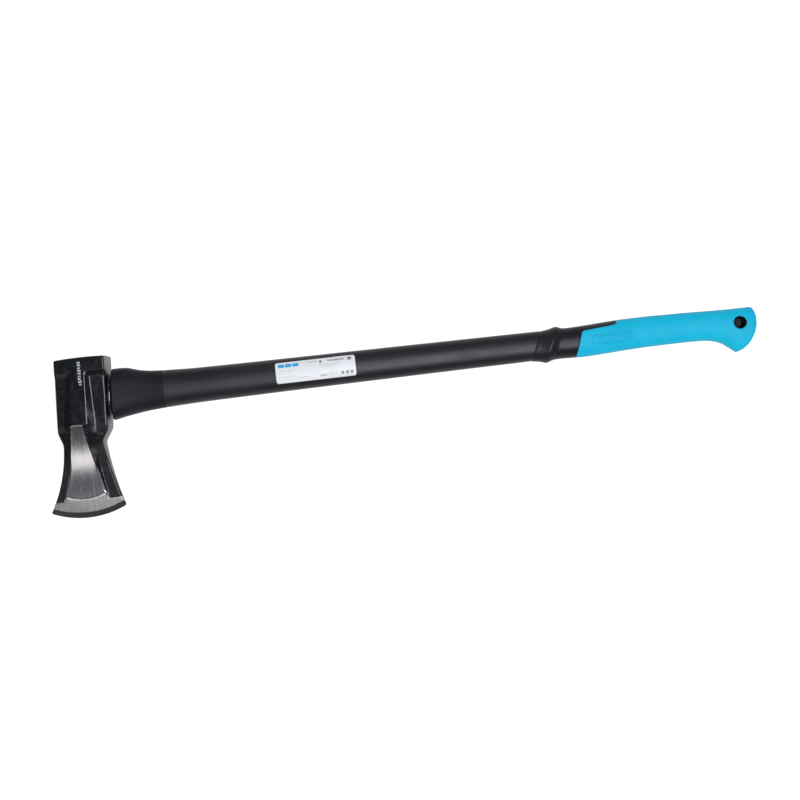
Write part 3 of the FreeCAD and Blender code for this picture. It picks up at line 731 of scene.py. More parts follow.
# Half thickness of the side panels' floors, as (y, half)
PANEL_LOWER = ((-58.0, 16.5), (-82.0, 11.0), (-101.0, 7.8), (-116.0, 5.6), (-130.2, 4.0), (-131.5, 6.0))
PANEL_FAR = straight(((33.0, 26.0), (27.0, 24.4), (-34.0, 24.4), (-43.0, 22.4)) + PANEL_LOWER)
PANEL_GRIP_END = straight(PANEL_LOWER)
PANEL_UPPER = ((39.0, 27.6), (33.0, 26.0), (27.0, 22.6), (10.0, 22.0), (-20.0, 22.0), (-43.0, 20.2))
PANEL_GRIP_TOP = smooth_curve(sorted(PANEL_UPPER + PANEL_LOWER[:4]), 2.5)
PANEL_SMOOTH_END_Y = -95.0


def panel_grip(y):
    return np.where(y > PANEL_SMOOTH_END_Y, PANEL_GRIP_TOP(y), PANEL_GRIP_END(y))


BARE_TOP_Y = -34.3
BARE_BAND_Y = (-130.0, -130.6)  # all steel is bare below this, on the far side and on the grip side
# The bare steel's edge on the grip side: it leaves the rib's middle and joins the rib's edge further down
BARE_RIGHT = straight(((-34.0, -1.8), (-45.0, -1.2), (-55.0, 0.2), (-62.0, 1.7), (-131.5, 15.9)))


def edge_circle():
    middle = (np.array(TOE) + np.array(HEEL)) / 2
    chord = np.array(HEEL) - np.array(TOE)
    down = np.array([chord[1], -chord[0]]) / np.linalg.norm(chord)
    return circle_through([TOE, tuple(middle + down * EDGE_SAG), HEEL])


EDGE_CENTRE, EDGE_RADIUS = edge_circle()


def circle_y(x, radius):
    """Lower side of a circle about the cutting edge's centre."""
    return EDGE_CENTRE[1] - np.sqrt(np.maximum(radius ** 2 - (x - EDGE_CENTRE[0]) ** 2, 1.0))


def side_x(side):
    """The head's outline on one side (-1 far, +1 grip side) as a function of y."""
    waist, end = (WAIST[0], TOE) if side < 0 else (WAIST[1], HEEL)
    sag = TOE_FLARE_SAG if side < 0 else HEEL_FLARE_SAG
    points = [(y, side * BODY_HALF + LEAN * y) for y in (60.0, SHOULDER_Y)] + [(waist[1], waist[0])]
    for t in np.linspace(0, 1, 17)[1:]:
        x = waist[0] + (end[0] - waist[0]) * t - side * sag * 4 * t * (1 - t)
        points.append((waist[1] + (end[1] - waist[1]) * t, x))
    points.append((end[1] - 20, points[-1][1] + (points[-1][1] - points[-2][1]) * 20 / 5))
    line = straight(points)
    return averaged(line, 2.2)


FAR_X, NEAR_X = side_x(-1), side_x(1)
SIDES = ((-1, RIB_LEFT, WALL_FAR, FAR_X, PANEL_FAR), (1, RIB_RIGHT, WALL_GRIP, NEAR_X, panel_grip))


def rib_half(y):
    """Half thickness of the rib: flat near the poll, then a hollow down to the ground blade."""
    share = np.clip((RIB_FLAT_END_Y - y) / (RIB_FLAT_END_Y - RIB_END_Y), 0, 1)
    hollow = HALF + (RIB_END_HALF - HALF) * share - 4 * RIB_HOLLOW * share * (1 - share)
    below = RIB_END_HALF - RIB_END_SLOPE * (RIB_END_Y - y)
    return np.where(y < RIB_END_Y, below, hollow)


def sharp_half(x, y):
    """Half thickness of the head at a point of its side view, with sharp edges."""
    rib = rib_half(y)
    half = rib.copy()
    for side, rim, wall, outline, floor in SIDES:
        share = np.clip((x - rim(y)) * side / wall(y), 0, 1)
        panel = rib + (floor(y) - rib) * share
        into_edge = np.maximum((x - outline(y)) * side + EDGE_CHAMFER, 0)
        panel -= CHAMFER_SLOPE * into_edge * ease(PANEL_TOP_Y, PANEL_TOP_Y - 6, y)
        in_panel = (y < PANEL_TOP_Y) & (y > RIB_END_Y)
        half = np.where(in_panel, np.minimum(half, panel), half)
    radius = np.hypot(x - EDGE_CENTRE[0], y - EDGE_CENTRE[1])
    ground = np.interp(
        radius,
        [EDGE_RADIUS - 3 * GRIND_WIDTH, EDGE_RADIUS - 2 * GRIND_WIDTH, EDGE_RADIUS - GRIND_WIDTH,
         EDGE_RADIUS - BEVEL_WIDTH, EDGE_RADIUS + 0.25],
        [56.0, 12.5, RIB_END_HALF, BEVEL_HALF, EDGE_HALF])
    overlap = np.maximum(BLEND - np.abs(half - ground), 0)
    blended = np.minimum(half, ground) - overlap ** 2 / (4 * BLEND)
    return np.where(y < EDGE_CENTRE[1], blended, half)


def poll_top(x):
    share = np.clip(x - LEAN * POLL_Y, -BODY_HALF, BODY_HALF) / BODY_HALF
    return POLL_Y + POLL_CROWN * (1 - share ** 2)


def head_half(x, y):
    """Half thickness with forged, rounded edges; crisper on the ground blade."""
    spread = 0.95 - 0.65 * ease(-100, -128, y)
    total = sharp_half(x, y) * 2
    weight = 2.0
    for ring, count in ((0.55, 6), (1.0, 10)):
        for k in range(count):
            turn = 2 * math.pi * k / count + ring
            reach = spread * ring
            total = total + sharp_half(x + reach * math.cos(turn), y + reach * math.sin(turn))
            weight += 1
    half = total / weight
    side_radius = 2.2 - 1.0 * ease(-45, -75, y) - 1.1 * ease(-118, -132, y)
    for distance in (x - FAR_X(y), NEAR_X(y) - x):
        half = half - quarter(distance, side_radius)
    half = half - quarter(poll_top(x) - y, POLL_ROUND)
    return np.maximum(half, EDGE_HALF)


def head_columns():
    """For each column, which of the eight spans between knots it lies in, and its share of that span."""
    counts = (10, 16, 12, 24, 16, 14, 18, 10)
    columns = []
    for segment, count in enumerate(counts):
        t = np.arange(count) / count
        if segment == 0:
            t = 1 - np.cos(t * math.pi / 2)
        if segment == len(counts) - 1:
            t = np.sin(t * math.pi / 2)
        columns += [(segment, share) for share in t]
    columns.append((len(counts) - 1, 1.0))
    return columns


def blade_row_y(x, v):
    """Y of a row of the blade: the rib's end at v 0, the bevel's upper edge at 1, the cutting edge at 2."""
    bevel = np.minimum(circle_y(x, EDGE_RADIUS - BEVEL_WIDTH), RIB_END_Y - 0.8)
    if v <= 1:
        return RIB_END_Y + (bevel - RIB_END_Y) * v
    return bevel + (circle_y(x, EDGE_RADIUS) - bevel) * (v - 1)


def head_grid():
    """Points (x, y) of the upper cheek, from the poll down; the last rows bow with the cutting edge."""
    tops = np.concatenate([
        POLL_ROUND * (1 - np.cos(np.linspace(0, math.pi / 2, 10)[:-1])),
        steps((POLL_ROUND, POLL_Y - PANEL_TOP_Y, 1.2))[:-1]])
    row_ys = list(POLL_Y - tops)
    row_ys += list(-steps((-PANEL_TOP_Y, -26.0, 0.6), (-26.0, 33.0, 1.25), (33.0, 36.0, 0.5),
                          (36.0, 60.0, 0.9), (60.0, 128.0, 1.0), (128.0, -RIB_END_Y, 0.4)))
    columns = head_columns()
    rows = []
    for y in row_ys:
        y = np.full(1, y)
        left, right = RIB_LEFT(y), RIB_RIGHT(y)
        far, near = FAR_X(y), NEAR_X(y)
        far_floor, near_floor = far + EDGE_CHAMFER, near - EDGE_CHAMFER
        knots = np.array([
            far, far_floor, np.maximum(left - WALL_FAR(y), far_floor + 0.6), left,
            left * 0.45 + right * 0.55,
            right, np.minimum(right + WALL_GRIP(y), near_floor - 0.6), near_floor, near])[:, 0]
        xs = np.array([knots[k] + (knots[k + 1] - knots[k]) * t for k, t in columns])
        inset = quarter(POLL_Y - y, POLL_CORNER)
        middle = (far + near) / 2
        xs = middle + (xs - middle) * (near - far - 2 * inset) / (near - far)
        lift = (poll_top(xs) - POLL_Y) * ease(PANEL_TOP_Y, POLL_Y, y)
        rows.append(np.stack([xs, y + lift], axis=-1))
    last = rows[-1][:, 0]
    share = (last - last[0]) / (last[-1] - last[0])
    for v in np.concatenate([np.linspace(0, 1, 17)[1:], 1 + np.linspace(0, 1, 13)[1:]]):
        ends = []
        for tip, line, side in ((TOE, FAR_X, 1), (HEEL, NEAR_X, -1)):
            x = tip[0] + side * BLADE_CORNER
            y = blade_row_y(x, v)
            ends.append(line(y) + side * quarter(y - circle_y(x, EDGE_RADIUS), BLADE_CORNER))
        xs = ends[0] + (ends[1] - ends[0]) * share
        rows.append(np.stack([xs, blade_row_y(xs, v)], axis=-1))
    return np.array(rows)


def bare_distance(x, y):
    """How far a point lies inside the ground, unpainted steel; negative on the paint."""
    wall = WALL_GRIP(y) * ease(-118, -124, y)
    rib = np.minimum(x - RIB_LEFT(y) + WALL_FAR(y) * ease(-124, -128, y), BARE_RIGHT(y) + wall - x)
    rib = np.minimum(rib, BARE_TOP_Y - y)
    return np.maximum(rib, np.where(x < -10, *BARE_BAND_Y) - y)


def head_walls(border):
    """Slightly crowned narrow sides between the two cheeks, from the upper cheek's border."""
    from_poll = np.abs(border[:, 1] - POLL_Y)
    away = np.sign(border[:, :2] - HEAD_CENTRE) * np.stack([from_poll > 1.5, from_poll <= 3.0], axis=-1)
    rows = []
    for t in np.cos(np.linspace(0, math.pi, 25)):
        row = border.copy()
        row[:, 2] = MID_Z + border[:, 2] * t
        bulge = SIDE_CROWN * (1 - t * t) * np.clip(border[:, 2] / 10, 0, 1)
        row[:, :2] += away * bulge[:, None]
        rows.append(row)
    return np.array(rows)


HEAD_CENTRE = (0.0, -40.0)
SIDE_CROWN = 0.45
FORGED_DIP = 0.1                # the forged skin lies this far below its ideal surface, on average
MARK_X, MARK_Y = (-2.0, 6.0), (14.0, 48.0)      # the smooth area round the printed mark


def maul_head():
    flat = head_grid()
    x, y = flat[..., 0], flat[..., 1]
    half = head_half(x, y)
    points = np.stack([x, y, half], axis=-1)
    painted = 1 - ease(-1.0, 1.5, bare_distance(x, y))
    from_mark = rounded_box_distance(x, y, MARK_X, MARK_Y, 0.0)
    forged = painted * ease(0, 6, from_mark)
    swell = 0.07 * wave_noise(points, 17.0, seed=3) + 0.02 * wave_noise(points, 5.0, seed=4)
    points[..., 2] = np.where(half > 1, half + (swell - FORGED_DIP) * forged, half)
    upper = points + np.array([0, 0, MID_Z])
    lower = points * np.array([1, 1, -1]) + np.array([0, 0, MID_Z])
    border = np.concatenate([points[0, :-1], points[:-1, -1], points[-1, :0:-1], points[:0:-1, 0]])
    walls = head_walls(border)
    bare, bevel, rim = [], [], []
    for grid in (upper, lower, walls):
        gx, gy = grid[..., 0], grid[..., 1]
        radius = np.hypot(gx - EDGE_CENTRE[0], gy - EDGE_CENTRE[1])
        if grid is walls:
            bare.append(-133.0 - gy)
        else:
            bare.append(bare_distance(gx, gy))
        # Distance past the bevel's upper edge; the material uses it to paint the bevel dark, a painted
        # reflection, and to roughen the ground zone.
        bevel.append(np.where(gy < -110, radius - (EDGE_RADIUS - BEVEL_WIDTH), -20.0))
        outline = np.minimum(np.minimum(gx - FAR_X(gy), NEAR_X(gy) - gx), poll_top(gx) - gy)
        if grid is walls:
            outline = HALF - np.abs(grid[..., 2] - MID_Z)
        rim.append(outline)
    piece = mesh_piece(
        "maul_head_forging",
        [(upper, False, False), (lower, False, False), (walls, True, False)],
        {"bare": bare, "bevel": bevel, "rim": rim}, smooth_angle=50)
    cut_hole(piece, eye_tool())
    return piece


def eye_tool():
    """Hourglass hollow of the eye, with broken edges where it meets the head's two leaning faces."""
    theta = angles(120)
    flare = smooth_curve(((-BODY_HALF, 3.0), (0.0, 0.0), (BODY_HALF, 1.0)))
    rows = []
    places = [(-45, 1.6), (-BODY_HALF - 0.4, 1.3), (-BODY_HALF + 0.4, 0.5), (-BODY_HALF + 1.4, 0.0)]
    places += [(x, 0.0) for x in (-22, -12, 0, 12, 22)]
    places += [(BODY_HALF - 1.0, 0.0), (BODY_HALF - 0.2, 0.3), (BODY_HALF + 0.6, 0.9), (45, 1.0)]
    for x, extra in places:
        grow = float(flare(min(max(x, -BODY_HALF), BODY_HALF))) + extra
        y, z = oval(theta, EYE_HALF[0] + grow, EYE_HALF[1] + grow)
        rows.append(np.stack([x + LEAN * y, y, MID_Z + z], axis=-1))
    rows = np.array(rows)
    caps = [row.mean(axis=1, keepdims=True).repeat(len(theta), 1) for row in (rows[:1], rows[-1:])]
    rows = np.concatenate([caps[0], rows, caps[1]])
    return mesh_piece("eye_tool", [(rows, True, False)])


# ---------------------------------------------------------------- label and mark
LABEL_X = (248.0, 350.0)
LABEL_Y = (-11.0, 15.2)
LABEL_CORNER = 3.0
LABEL_STEP = 0.34
PRINT_WIDTH, PRINT_HEIGHT = 102.0, 26.0
# Printed blocks as shares of the label: left, right, top, bottom; the blue ones first
BLUE_PRINT = ((0.035, 0.115, 0.09, 0.25), (0.125, 0.205, 0.09, 0.25), (0.215, 0.295, 0.09, 0.25))
DARK_PRINT = ((0.553, 0.585, 0.09, 0.21), (0.905, 0.955, 0.07, 0.21), (0.815, 0.85, 0.72, 0.86),
              (0.873, 0.908, 0.72, 0.86), (0.93, 0.965, 0.72, 0.86))
# Lines of small blocks: left, right, top, bottom, strength
PRINT_LINES = (
    (0.655, 0.865, 0.09, 0.18, 0.75), (0.405, 0.525, 0.10, 0.15, 0.5), (0.55, 0.80, 0.30, 0.345, 0.35),
    (0.55, 0.76, 0.40, 0.44, 0.25), (0.035, 0.24, 0.40, 0.44, 0.3), (0.035, 0.21, 0.52, 0.56, 0.3),
    (0.035, 0.25, 0.68, 0.725, 0.35), (0.035, 0.20, 0.80, 0.84, 0.3), (0.27, 0.43, 0.78, 0.825, 0.45),
    (0.555, 0.64, 0.77, 0.86, 0.7), (0.66, 0.78, 0.75, 0.80, 0.4), (0.66, 0.75, 0.84, 0.88, 0.3))


def label_blocks():
    """All printed blocks: (left, right, top, bottom, strength), with each line broken into short pieces."""
    own = np.random.default_rng(11)
    blocks = [block + (0.85,) for block in DARK_PRINT]
    for left, right, top, bottom, strength in PRINT_LINES:
        at = left
        while at < right - 0.006:
            end = min(right, at + own.uniform(0.012, 0.034))
            blocks.append((at, end, top, bottom, strength * own.uniform(0.8, 1.1)))
            at = end + 0.006
    return blocks


def shaft_label():
    (x0, x1), (y0, y1) = LABEL_X, LABEL_Y
    xs = np.linspace(x0, x1, int((x1 - x0) / LABEL_STEP) + 1)
    corner = np.clip(LABEL_CORNER - np.minimum(xs - x0, x1 - xs), 0, LABEL_CORNER)
    inset = LABEL_CORNER - np.sqrt(LABEL_CORNER ** 2 - corner ** 2)
    v = np.linspace(0, 1, int((y1 - y0) / LABEL_STEP) + 1)
    x = np.repeat(xs[:, None], len(v), axis=1)
    y = (y0 + inset)[:, None] + ((y1 - y0) - 2 * inset)[:, None] * v[None, :]
    low, high = np.full(x.shape, 0.05), np.full(x.shape, math.pi - 0.05)
    angle = search(low, high, lambda angle: SHAFT_SURFACE.at(x, angle)[..., 1] > y)
    outer = SHAFT_SURFACE.at(x, angle, grow=0.2)
    edge = np.minimum(np.minimum(x - x0, x1 - x), np.minimum(y - y0, y1 - y))
    outer[..., 2] -= 0.1 * (1 - ease(0, 0.8, edge))
    inner = SHAFT_SURFACE.at(x, angle, grow=0.02)
    u = (x - x0) / (x1 - x0)
    w = (y1 - y) / (y1 - y0)

    def from_block(block, corner, slant=0.0):
        left, right, top, bottom = block
        across = (u + (w - top) * slant) * PRINT_WIDTH
        return rounded_box_distance(across, w * PRINT_HEIGHT, (left * PRINT_WIDTH, right * PRINT_WIDTH),
                                    (top * PRINT_HEIGHT, bottom * PRINT_HEIGHT), corner)

    blue = np.full(x.shape, -1.0)
    for block in BLUE_PRINT:
        blue = np.maximum(blue, np.clip(-from_block(block, 0.7, 0.02), -1, 1))
    dark = np.zeros(x.shape)
    for *block, strength in label_blocks():
        dark = np.maximum(dark, strength * (1 - ease(-0.25, 0.25, from_block(block, 0.3))))
    sides = [np.stack([outer[:, k], inner[:, k]]) for k in (0, -1)]
    ends = [np.stack([outer[k], inner[k]]) for k in (0, -1)]
    grids = [outer, inner, *sides, *ends]
    plain = [np.full(g.shape[:2], -1.0) for g in grids[1:]]
    none = [np.zeros(g.shape[:2]) for g in grids[1:]]
    return mesh_piece("maul_shaft_label", [(g, False, False) for g in grids],
                      {"blue": [blue] + plain, "dark": [dark] + none})


MARK_BARS = 9
MARK_END_GAP = 0.38             # the gap above the last bar, as a share of the bars' pitch
MARK_BAR_SHARE = 0.74           # of the pitch that a bar fills


def cheek_mark():
    """Column of plain printed bars on the upper cheek, uneven as rubbed print is."""
    low, high = box_mm("cheek_mark")
    pitch = (high[1] - low[1]) / (MARK_BARS - MARK_END_GAP)
    own = np.random.default_rng(5)
    turns = angles(28)
    grids = []
    for i in range(MARK_BARS):
        left = low[0] + own.uniform(0, 0.9)
        right = high[0] - own.uniform(0, 0.9)
        bottom = low[1] + pitch * i + own.uniform(0, 0.25)
        top = low[1] + pitch * (i + MARK_BAR_SHARE) - own.uniform(0, 0.25)
        x, y = oval(turns, (right - left) / 2, (top - bottom) / 2, 5.0)
        rows = []
        for shrink, z in ((0.0, -0.25), (1.0, -0.25), (1.0, 0.05), (0.97, 0.1), (0.5, 0.115), (0.0, 0.12)):
            rows.append(np.stack([
                (left + right) / 2 + x * shrink, (bottom + top) / 2 + y * shrink,
                np.full(len(turns), 2 * MID_Z + z)], axis=-1))
        grids.append((np.array(rows), True, False))
    return mesh_piece("maul_cheek_mark", grids)


# ---------------------------------------------------------------- materials
class Nodes:
    """Small helper that builds one material's node tree."""

    def __init__(self, name):
        self.material = bpy.data.materials.new(name)
        self.material.use_nodes = True
        self.tree = self.material.node_tree
        self.tree.nodes.clear()
        self.shader = self.node("ShaderNodeBsdfPrincipled")
        output = self.node("ShaderNodeOutputMaterial")
        self.link(self.shader.outputs[0], output.inputs["Surface"])
        self.place = self.node("ShaderNodeTexCoord").outputs["Object"]

    def node(self, kind, **settings):
        node = self.tree.nodes.new(kind)
        for key, value in settings.items():
            setattr(node, key, value)
        return node

    def link(self, source, target):
        self.tree.links.new(source, target)

    def put(self, target, value):
        if isinstance(value, bpy.types.NodeSocket):
            self.link(value, target)
        elif isinstance(value, tuple):
            target.default_value = value if len(value) == 4 or target.type == "VECTOR" else value + (1.0,)
        else:
            target.default_value = value

    def math(self, operation, *values):
        node = self.node("ShaderNodeMath", operation=operation)
        for socket, value in zip(node.inputs, values):
            self.put(socket, value)
        return node.outputs[0]

    def texture(self, kind, scale, stretch):
        """Texture node with scale cells per metre."""
        mapping = self.node("ShaderNodeMapping")
        self.link(self.place, mapping.inputs["Vector"])
        mapping.inputs["Scale"].default_value = stretch
        node = self.node(kind)
        self.link(mapping.outputs[0], node.inputs["Vector"])
        node.inputs["Scale"].default_value = scale
        return node

    def noise(self, scale, detail=3.0, roughness=0.55, stretch=(1, 1, 1), distortion=0.0):
        node = self.texture("ShaderNodeTexNoise", scale, stretch)
        node.inputs["Detail"].default_value = detail
        node.inputs["Roughness"].default_value = roughness
        node.inputs["Distortion"].default_value = distortion
        return node.outputs["Fac"]

    def cells(self, scale, stretch=(1, 1, 1)):
        return self.texture("ShaderNodeTexVoronoi", scale, stretch).outputs["Distance"]

    def span(self, value, a, b, low=0.0, high=1.0):
        """Maps value from a..b to low..high smoothly and clamps it."""
        node = self.node("ShaderNodeMapRange", interpolation_type="SMOOTHSTEP")
        for socket, item in zip(node.inputs, (value, a, b, low, high)):
            self.put(socket, item)
        return node.outputs[0]

    def mix(self, factor, a, b):
        node = self.node("ShaderNodeMix", data_type="RGBA")
        self.put(node.inputs[0], factor)
        self.put(node.inputs[6], a)
        self.put(node.inputs[7], b)
        return node.outputs[2]

    def attribute(self, name):
        return self.node("ShaderNodeAttribute", attribute_name=name).outputs["Fac"]

    def bump(self, *layers):
        """Layers of (height socket, depth in millimetres), one on another."""
        normal = None
        for height, depth in layers:
            node = self.node("ShaderNodeBump")
            node.inputs["Strength"].default_value = 1.0
            node.inputs["Distance"].default_value = depth * MM
            self.link(height, node.inputs["Height"])
            if normal is not None:
                self.link(normal, node.inputs["Normal"])
            normal = node.outputs[0]
        self.link(normal, self.shader.inputs["Normal"])

    def surface(self, **values):
        for key, value in values.items():
            self.put(self.shader.inputs[key.replace("_", " ")], value)
        return self.material


def painted_steel():
    """Gloss black paint over a forging, with bare ground steel where the paint has been ground away."""
    n = Nodes("painted_and_ground_steel")
    ragged = n.math("MULTIPLY", n.math("SUBTRACT", n.noise(900.0, 4.0), 0.5), 0.9)
    bare = n.span(n.math("ADD", n.attribute("bare"), ragged), -0.12, 0.12)
    # Mask of the cutting bevel; below, it carries the bevel's painted dark reflection.
    bevel = n.span(n.attribute("bevel"), -0.15, 0.15)
    rim = n.span(n.attribute("rim"), 2.4, 0.4)
    chips = n.span(n.math("MULTIPLY", rim, n.noise(420.0, 5.0, 0.65)), 0.60, 0.66)
    specks = n.span(n.noise(650.0, 2.0, 0.4), 0.735, 0.77)
    exposed = n.math("MAXIMUM", n.math("MULTIPLY", chips, 0.75), n.math("MULTIPLY", specks, 0.35))
    peel = n.noise(260.0, 3.0)
    paint = n.mix(n.span(peel, 0.35, 0.7), (0.0012, 0.0014, 0.0020), (0.0042, 0.0052, 0.0080))
    paint = n.mix(exposed, paint, (0.10, 0.105, 0.12))
    streak = n.noise(42.0, 6.0, 0.62, stretch=(11, 0.6, 0.6))
    clouds = n.noise(60.0, 4.0, 0.6)
    steel = n.mix(n.span(streak, 0.3, 0.72), (0.39, 0.375, 0.375), (0.50, 0.49, 0.495))
    steel = n.mix(n.span(clouds, 0.42, 0.75), steel, (0.40, 0.375, 0.37))
    # Painted reflection: the cutting bevel's steel is darkened, standing in for the dark surroundings its
    # downward-facing face reflects.
    steel = n.mix(n.math("MULTIPLY", bevel, 0.85), steel, (0.10, 0.10, 0.108))
    colour = n.mix(bare, paint, steel)
    metal = n.math("MAXIMUM", bare, n.math("MULTIPLY", chips, 0.6))
    paint_rough = n.span(n.noise(120.0, 4.0), 0.3, 0.75, 0.16, 0.27)
    facing = n.node("ShaderNodeSeparateXYZ")
    n.link(n.node("ShaderNodeNewGeometry").outputs["Normal"], facing.inputs[0])
    upright_face = n.span(n.math("ABSOLUTE", facing.outputs["Z"]), 0.45, 0.15)
    paint_rough = n.math("ADD", paint_rough, n.math("MULTIPLY", upright_face, 0.16))
    ground_top = BEVEL_WIDTH - GRIND_WIDTH
    coarse = n.span(n.attribute("bevel"), ground_top - 2.5, ground_top + 1.5)
    steel_rough = n.math("ADD", n.span(streak, 0.25, 0.75, 0.11, 0.14), n.math("MULTIPLY", coarse, 0.17))
    rough = n.node("ShaderNodeMix", data_type="FLOAT")
    for index, value in ((0, bare), (2, paint_rough), (3, steel_rough)):
        n.put(rough.inputs[index], value)
    painted = n.math("SUBTRACT", 1.0, bare)
    lines = n.noise(75.0, 5.0, 0.7, stretch=(22, 0.8, 0.8))
    n.bump(
        (n.math("MULTIPLY", n.noise(330.0, 4.0, 0.6), painted), 0.08),
        (n.math("MULTIPLY", n.noise(1500.0, 2.0), painted), 0.015),
        (n.math("MULTIPLY", lines, bare), 0.004),
        (bare, -0.06),
    )
    return n.surface(Base_Color=colour, Metallic=metal, Roughness=rough.outputs[0], Specular_IOR_Level=0.40)


def moulded(name, dark, light, rough, grain, depth, dust=0.0, streaky=False, shine=0.32):
    """Satin moulded plastic or rubber: slightly cloudy colour, fine grain, faint rubbed patches."""
    n = Nodes(name)
    clouds = n.noise(28.0, 4.0, stretch=(0.35, 1, 1) if streaky else (1, 1, 1))
    colour = n.mix(n.span(clouds, 0.3, 0.72), dark, light)
    marks = n.span(n.noise(95.0, 3.0, 0.5), 0.66, 0.78, 0.0, dust)
    colour = n.mix(marks, colour, tuple(min(1.0, c * 3.2 + 0.02) for c in light))
    scuffs = n.span(n.noise(34.0, 5.0, 0.6, stretch=(0.25, 1.6, 1.6)), 0.45, 0.8, rough - 0.05, rough + 0.09)
    n.bump((n.noise(grain, 2.0, 0.5), depth), (n.cells(grain * 0.7), depth * 0.6),
           (n.noise(70.0, 3.0), 0.10))
    return n.surface(Base_Color=colour, Roughness=scuffs, Specular_IOR_Level=shine)


def soft_touch():
    """Light blue soft rubber with a fine matt skin, a little darker in patches where hands rub it."""
    n = Nodes("soft_blue_rubber")
    clouds = n.noise(36.0, 5.0, 0.6)
    colour = n.mix(n.span(clouds, 0.3, 0.75), (0.004, 0.330, 0.500), (0.006, 0.362, 0.545))
    smudge = n.span(n.noise(17.0, 3.0, 0.5, stretch=(0.6, 1.8, 1)), 0.55, 0.8, 0.0, 0.35)
    colour = n.mix(smudge, colour, (0.004, 0.310, 0.490))
    rough = n.span(n.noise(80.0, 4.0), 0.3, 0.8, 0.46, 0.62)
    n.bump((n.noise(2400.0, 2.0), 0.03), (n.cells(1500.0), 0.02), (n.noise(60.0, 3.0), 0.08))
    return n.surface(Base_Color=colour, Roughness=rough, Specular_IOR_Level=0.12)


def label_film():
    n = Nodes("printed_label_film")
    fibre = n.noise(1800.0, 2.0)
    paper = n.mix(n.span(fibre, 0.3, 0.7), (0.53, 0.535, 0.555), (0.58, 0.585, 0.605))
    paper = n.mix(n.span(n.noise(40.0, 3.0), 0.5, 0.8, 0.0, 0.3), paper, (0.57, 0.58, 0.61))
    blue = n.span(n.attribute("blue"), -0.1, 0.12)
    colour = n.mix(blue, paper, (0.010, 0.27, 0.55))
    dark = n.math("MULTIPLY", n.attribute("dark"), n.span(n.noise(700.0, 3.0), 0.2, 0.6, 0.6, 1.0))
    colour = n.mix(dark, colour, (0.035, 0.037, 0.045))
    n.bump((fibre, 0.008), (n.noise(90.0, 2.0), 0.05))
    return n.surface(Base_Color=colour, Roughness=n.span(n.noise(200.0), 0.3, 0.7, 0.3, 0.42))


def rubbed_ink():
    n = Nodes("rubbed_white_ink")
    worn = n.span(n.noise(750.0, 5.0, 0.7), 0.38, 0.62)
    colour = n.mix(worn, (0.07, 0.075, 0.085), (0.48, 0.48, 0.47))
    n.bump((n.noise(1500.0, 3.0), 0.02))
    return n.surface(Base_Color=colour, Roughness=n.span(worn, 0.0, 1.0, 0.3, 0.5))


def potting_resin():
    n = Nodes("dark_potting_resin")
    swirl = n.noise(110.0, 6.0, 0.6, distortion=1.2)
    colour = n.mix(n.span(swirl, 0.35, 0.7), (0.018, 0.014, 0.010), (0.050, 0.040, 0.028))
    bubbles = n.span(n.cells(420.0), 0.05, 0.16, 1.0, 0.0)
    n.bump((n.noise(90.0, 4.0), 0.35), (bubbles, -0.15))
    return n.surface(Base_Color=colour, Roughness=n.span(swirl, 0.3, 0.7, 0.2, 0.45))


def glass_fibre():
    n = Nodes("pultruded_glass_fibre")
    strands = n.noise(160.0, 5.0, 0.7, stretch=(0.05, 4, 4))
    dots = n.cells(900.0, stretch=(0.1, 1, 1))
    colour = n.mix(n.span(strands, 0.3, 0.7), (0.40, 0.34, 0.16), (0.68, 0.62, 0.42))
    colour = n.mix(n.span(dots, 0.1, 0.5, 0.35, 0.0), colour, (0.25, 0.20, 0.09))
    n.bump((strands, 0.06), (dots, 0.03))
    return n.surface(Base_Color=colour, Roughness=n.span(strands, 0.3, 0.7, 0.4, 0.65))


# ---------------------------------------------------------------- studio
def area_light(name, angle, distance, size, strength, colour, glossy=True, turn=0.0):
    """Soft box aimed at the maul, long side along X, tilted by angle towards -Y and by turn towards +X."""
    low, high = cad_box
    target = (low + high) / 2
    light = bpy.data.lights.new(name, "AREA")
    light.shape = "RECTANGLE"
    light.size, light.size_y = size
    light.energy = strength
    light.color = colour
    lamp = bpy.data.objects.new(name, light)
    tilt = math.radians(angle)
    sweep = math.radians(turn)
    away = Vector((math.sin(sweep), -math.sin(tilt) * math.cos(sweep), math.cos(tilt) * math.cos(sweep)))
    lamp.location = target + away * distance
    along = (Vector((1, 0, 0)) - away * away.x).normalized()
    lamp.rotation_mode = "QUATERNION"
    lamp.rotation_quaternion = Matrix((along, away.cross(along), away)).transposed().to_quaternion()
    lamp.visible_camera = False
    lamp.visible_glossy = glossy
    bpy.context.scene.collection.objects.link(lamp)


FLOOR_HALF = 6.0                # metres
FLOOR_GAP = 0.0004


def sky():
    """World light: pale from below, as off a light table, dim from above."""
    world = bpy.data.worlds.new("studio")
    bpy.context.scene.world = world
    world.use_nodes = True
    tree = world.node_tree
    place = tree.nodes.new("ShaderNodeTexCoord")
    split = tree.nodes.new("ShaderNodeSeparateXYZ")
    ramp = tree.nodes.new("ShaderNodeValToRGB")
    tree.links.new(place.outputs["Generated"], split.inputs[0])
    tree.links.new(split.outputs["Z"], ramp.inputs[0])
    tree.links.new(ramp.outputs[0], tree.nodes["Background"].inputs["Color"])
    stops = ramp.color_ramp.elements
    stops[0].position, stops[0].color = 0.0, (0.95, 0.95, 0.97, 1)
    stops[1].position, stops[1].color = 1.0, (0.17, 0.20, 0.25, 1)
    between = ((0.25, (0.80, 0.81, 0.84, 1)), (0.55, (0.20, 0.20, 0.21, 1)), (0.85, (0.11, 0.11, 0.115, 1)))
    for position, colour in between:
        stops.new(position).color = colour


